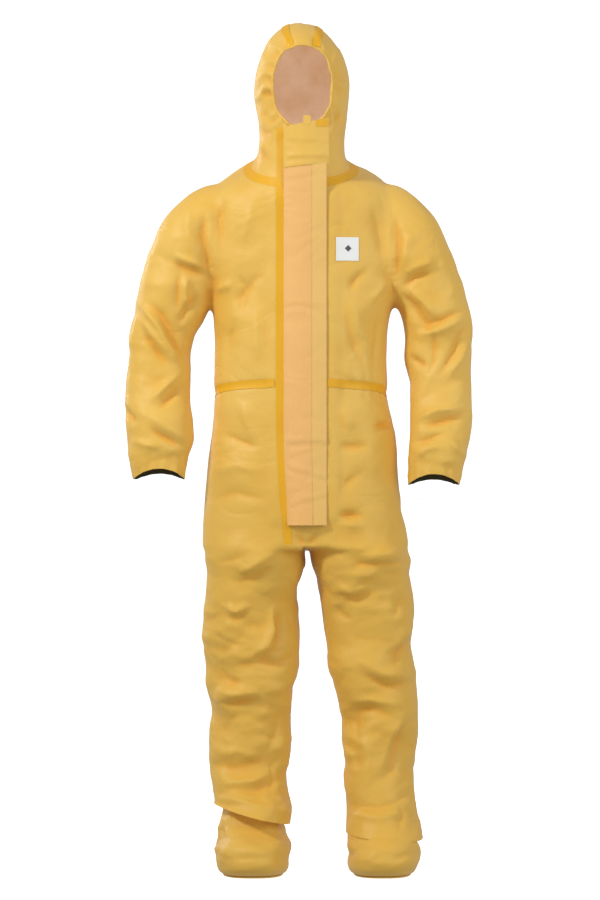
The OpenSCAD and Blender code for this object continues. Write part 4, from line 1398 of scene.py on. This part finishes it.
# ------------------------------------------------------------------ socks
SOLE_EDGE = ((0, 2.5), (0.6, 1), (1.6, 0), (3.0, 0), (3.5, 0.6))      # height, how far in from the outline
SOCK = [  # height, half width less the leg's, front, back
    (4, -17, -160, 66), (9, -9, -176, 80), (20, -4, -187, 87), (38, -1, -191, 90), (60, 0, -182, 91),
    (80, -6, -156, 88), (97, -11, -130, 85), (125, -15, -104, 80), (165, -16, -80, 76), (206, -17, -68, 72)]
for s, k in (("left", 1), ("right", -1)):
    c0, c1, hw = (170, 173, 78) if k > 0 else (-105, -108, 81)
    rows = []
    for zz, dw, yf, yb in SOCK:
        centre_x = c0 + (c1 - c0) * zz / 200
        rows.append(level(zz, centre_x - hw - dw, centre_x + hw + dw, yf, yb, 2.5))
    v, f = tube(rows, around=120, steps=8)
    net_s = Net(v, f)
    nor_s = vertex_normals(v, f)
    if nor_s[:, 2][np.argmax(v[:, 2])] < 0:
        f = [q[::-1] for q in f]
        nor_s = -nor_s
    loose = smooth01((v[:, 2] - 14) / 40)
    d = loose * (9.0 * facets(v, (90, 80, 46), 20 * k, 71) + 5.5 * facets(v, (50, 50, 30), -25, 72)
                 + 2.0 * facets(v, (26, 26, 18), 5, 73))
    v2 = v + nor_s * d[:, None]
    v2 = net_s.smooth(v2, 1, 0.4)
    v2[:, 2] = np.maximum(v2[:, 2], 3.6)
    top = v[:, 2].max()
    keep = [q for q in f if not (len(q) == 3 and v[list(q), 2].mean() > top - 1)]
    keep = split(v2, [tuple(q) for q in keep])[0]
    nor_s = vertex_normals(v2, keep)
    n_v = len(v2)
    inner_v = v2 - nor_s * 1.0
    fs, count, rim = two_faced(keep, n_v)
    mi = [0] * count + [1] * count + [0] * rim
    sock = make_mesh("v_sock_" + s, to_row(np.vstack([v2, inner_v])), fs, np.vstack([nor_s, -nor_s]), two, mi)
    # painted shade: the sock's fold hollows are tinted, and the whole sock takes the full low colour
    soft_s = net_s.smooth(v2, 8)
    sock_fold_shade = np.clip(((soft_s - v2) * nor_s).sum(1) / 2.5, 0, 1)
    tint(sock, np.tile(sock_fold_shade, 2), np.ones(2 * n_v))
    settle(sock, "suit_fabric", "shank_" + s, "sock_" + s)
    # the sole: a flat slab with a rounded edge
    r0 = np.array(rows[0])
    sole_rows = [[*r0[:2], zz, *r0[3:9], r0[9] - g, r0[10] - g, r0[11]] for zz, g in SOLE_EDGE]
    sv, sf = tube(sole_rows, around=90, steps=1)
    sole = make_mesh("v_sock_sole_" + s, to_row(sv), sf, None, (YELLOW,))
    outward_faces(sole)
    # painted shade: the sole takes a flat share of the fold colour and the full low colour
    tint(sole, np.zeros(len(sv)) + 0.3, np.ones(len(sv)))
    settle(sole, "suit_fabric", "shank_" + s, "sock_sole_" + s)

# the crotch gusset: a diamond sewn in under the seat
gus = []
for y in np.linspace(-78, 78, 27):
    half = 30 * (1 - abs(y) / 82)
    line = []
    for t in np.linspace(-1, 1, 9):
        loc = skin_tree.find_nearest((8 + half * t, y, 688))[0]
        line.append((loc.x, loc.y, loc.z))
    gus.append(line)
gus = np.array(gus)
gus[:, :, 2] = np.maximum(gus[:, :, 2], 684)
gusset = sheet_mesh("v_crotch_gusset", gus - np.array([0, 0, 0.4]), (0, 0, -1), 0.5, (YELLOW,))
settle(gusset, "suit_fabric", "jacket", "crotch_gusset")


# ------------------------------------------------------------------ camera, light, stage
cam_d = bpy.data.cameras.new("cam")
cam = bpy.data.objects.new("cam", cam_d)
bpy.context.scene.collection.objects.link(cam)
cam_d.sensor_fit = "VERTICAL"
DIST, MM_PER_PIXEL, EYE_Z, MIDDLE_Z = 12.0, 2.137, 1000, 903
cam_d.sensor_height = 36
cam_d.lens = 36 * DIST / (900 * MM_PER_PIXEL * MM)
cam.location = to_row((-5, -DIST * 1000, EYE_Z))
target = to_row((-5, 0, MIDDLE_Z))
cam.rotation_euler = (Vector(target) - cam.location).to_track_quat("-Z", "Y").to_euler()
bpy.context.scene.camera = cam

world = bpy.data.worlds.new("world")
bpy.context.scene.world = world
world.use_nodes = True
wt = world.node_tree
wt.nodes["Background"].inputs["Color"].default_value = (0.52, 0.52, 0.525, 1)
wt.nodes["Background"].inputs["Strength"].default_value = 1.0
bpy.context.scene.view_settings.view_transform = "Standard"


def area(name, loc, look, size, power):
    d = bpy.data.lights.new(name, "AREA")
    d.shape = "RECTANGLE"
    d.size, d.size_y = size
    d.energy = power
    o = bpy.data.objects.new(name, d)
    bpy.context.scene.collection.objects.link(o)
    o.location = loc
    o.rotation_euler = (Vector(look) - Vector(loc)).to_track_quat("-Z", "Y").to_euler()
    return o


area("key", (-2.7, -2.3, 1.8), (0, 0, -0.6), (0.5, 0.8), 93)
area("fill", (2.6, -2.6, 0.4), (0, 0, -0.7), (2.0, 2.4), 42)
area("rim", (-2.6, 3.0, 0.6), (0, 0, -0.5), (0.8, 1.4), 26)

# a pale floor that curves up into a wall all the way round, seen by the camera but not lighting the suit
FLOOR_Z, FLAT_R, BEND_R = -1.4905, 45.0, 15.0
AROUND = 64
profile = [(0.0, FLOOR_Z), (12.0, FLOOR_Z), (FLAT_R, FLOOR_Z)]
bend = np.linspace(0.2, math.pi / 2, 8)
profile += [(FLAT_R + BEND_R * math.sin(a), FLOOR_Z + BEND_R - BEND_R * math.cos(a)) for a in bend]
profile += [(60.0, 26.0), (54.0, 46.0), (30.0, 58.0), (0.01, 62.0)]
around = np.linspace(0, 2 * math.pi, AROUND, endpoint=False)
cove_pts = [(r * math.cos(a), r * math.sin(a), zz) for r, zz in profile[1:] for a in around]
cove_faces = []
for ring in range(len(profile) - 2):
    low_ring, high_ring = ring * AROUND, (ring + 1) * AROUND
    for k in range(AROUND):
        after = (k + 1) % AROUND
        cove_faces.append((low_ring + k, low_ring + after, high_ring + after, high_ring + k))
cove_faces.append(tuple(range(AROUND - 1, -1, -1)))
floor = make_mesh("floor", np.array(cove_pts), cove_faces)
floor.visible_diffuse = False
floor.visible_glossy = False
floor.visible_shadow = False
fm, _, fb = material("floor_pale")
fb.inputs["Base Color"].default_value = (0.9, 0.9, 0.9, 1)
fb.inputs["Roughness"].default_value = 0.9
fb.inputs["Emission Color"].default_value = (1, 1, 1, 1)
fb.inputs["Emission Strength"].default_value = 0.78
floor.data.materials.append(fm)
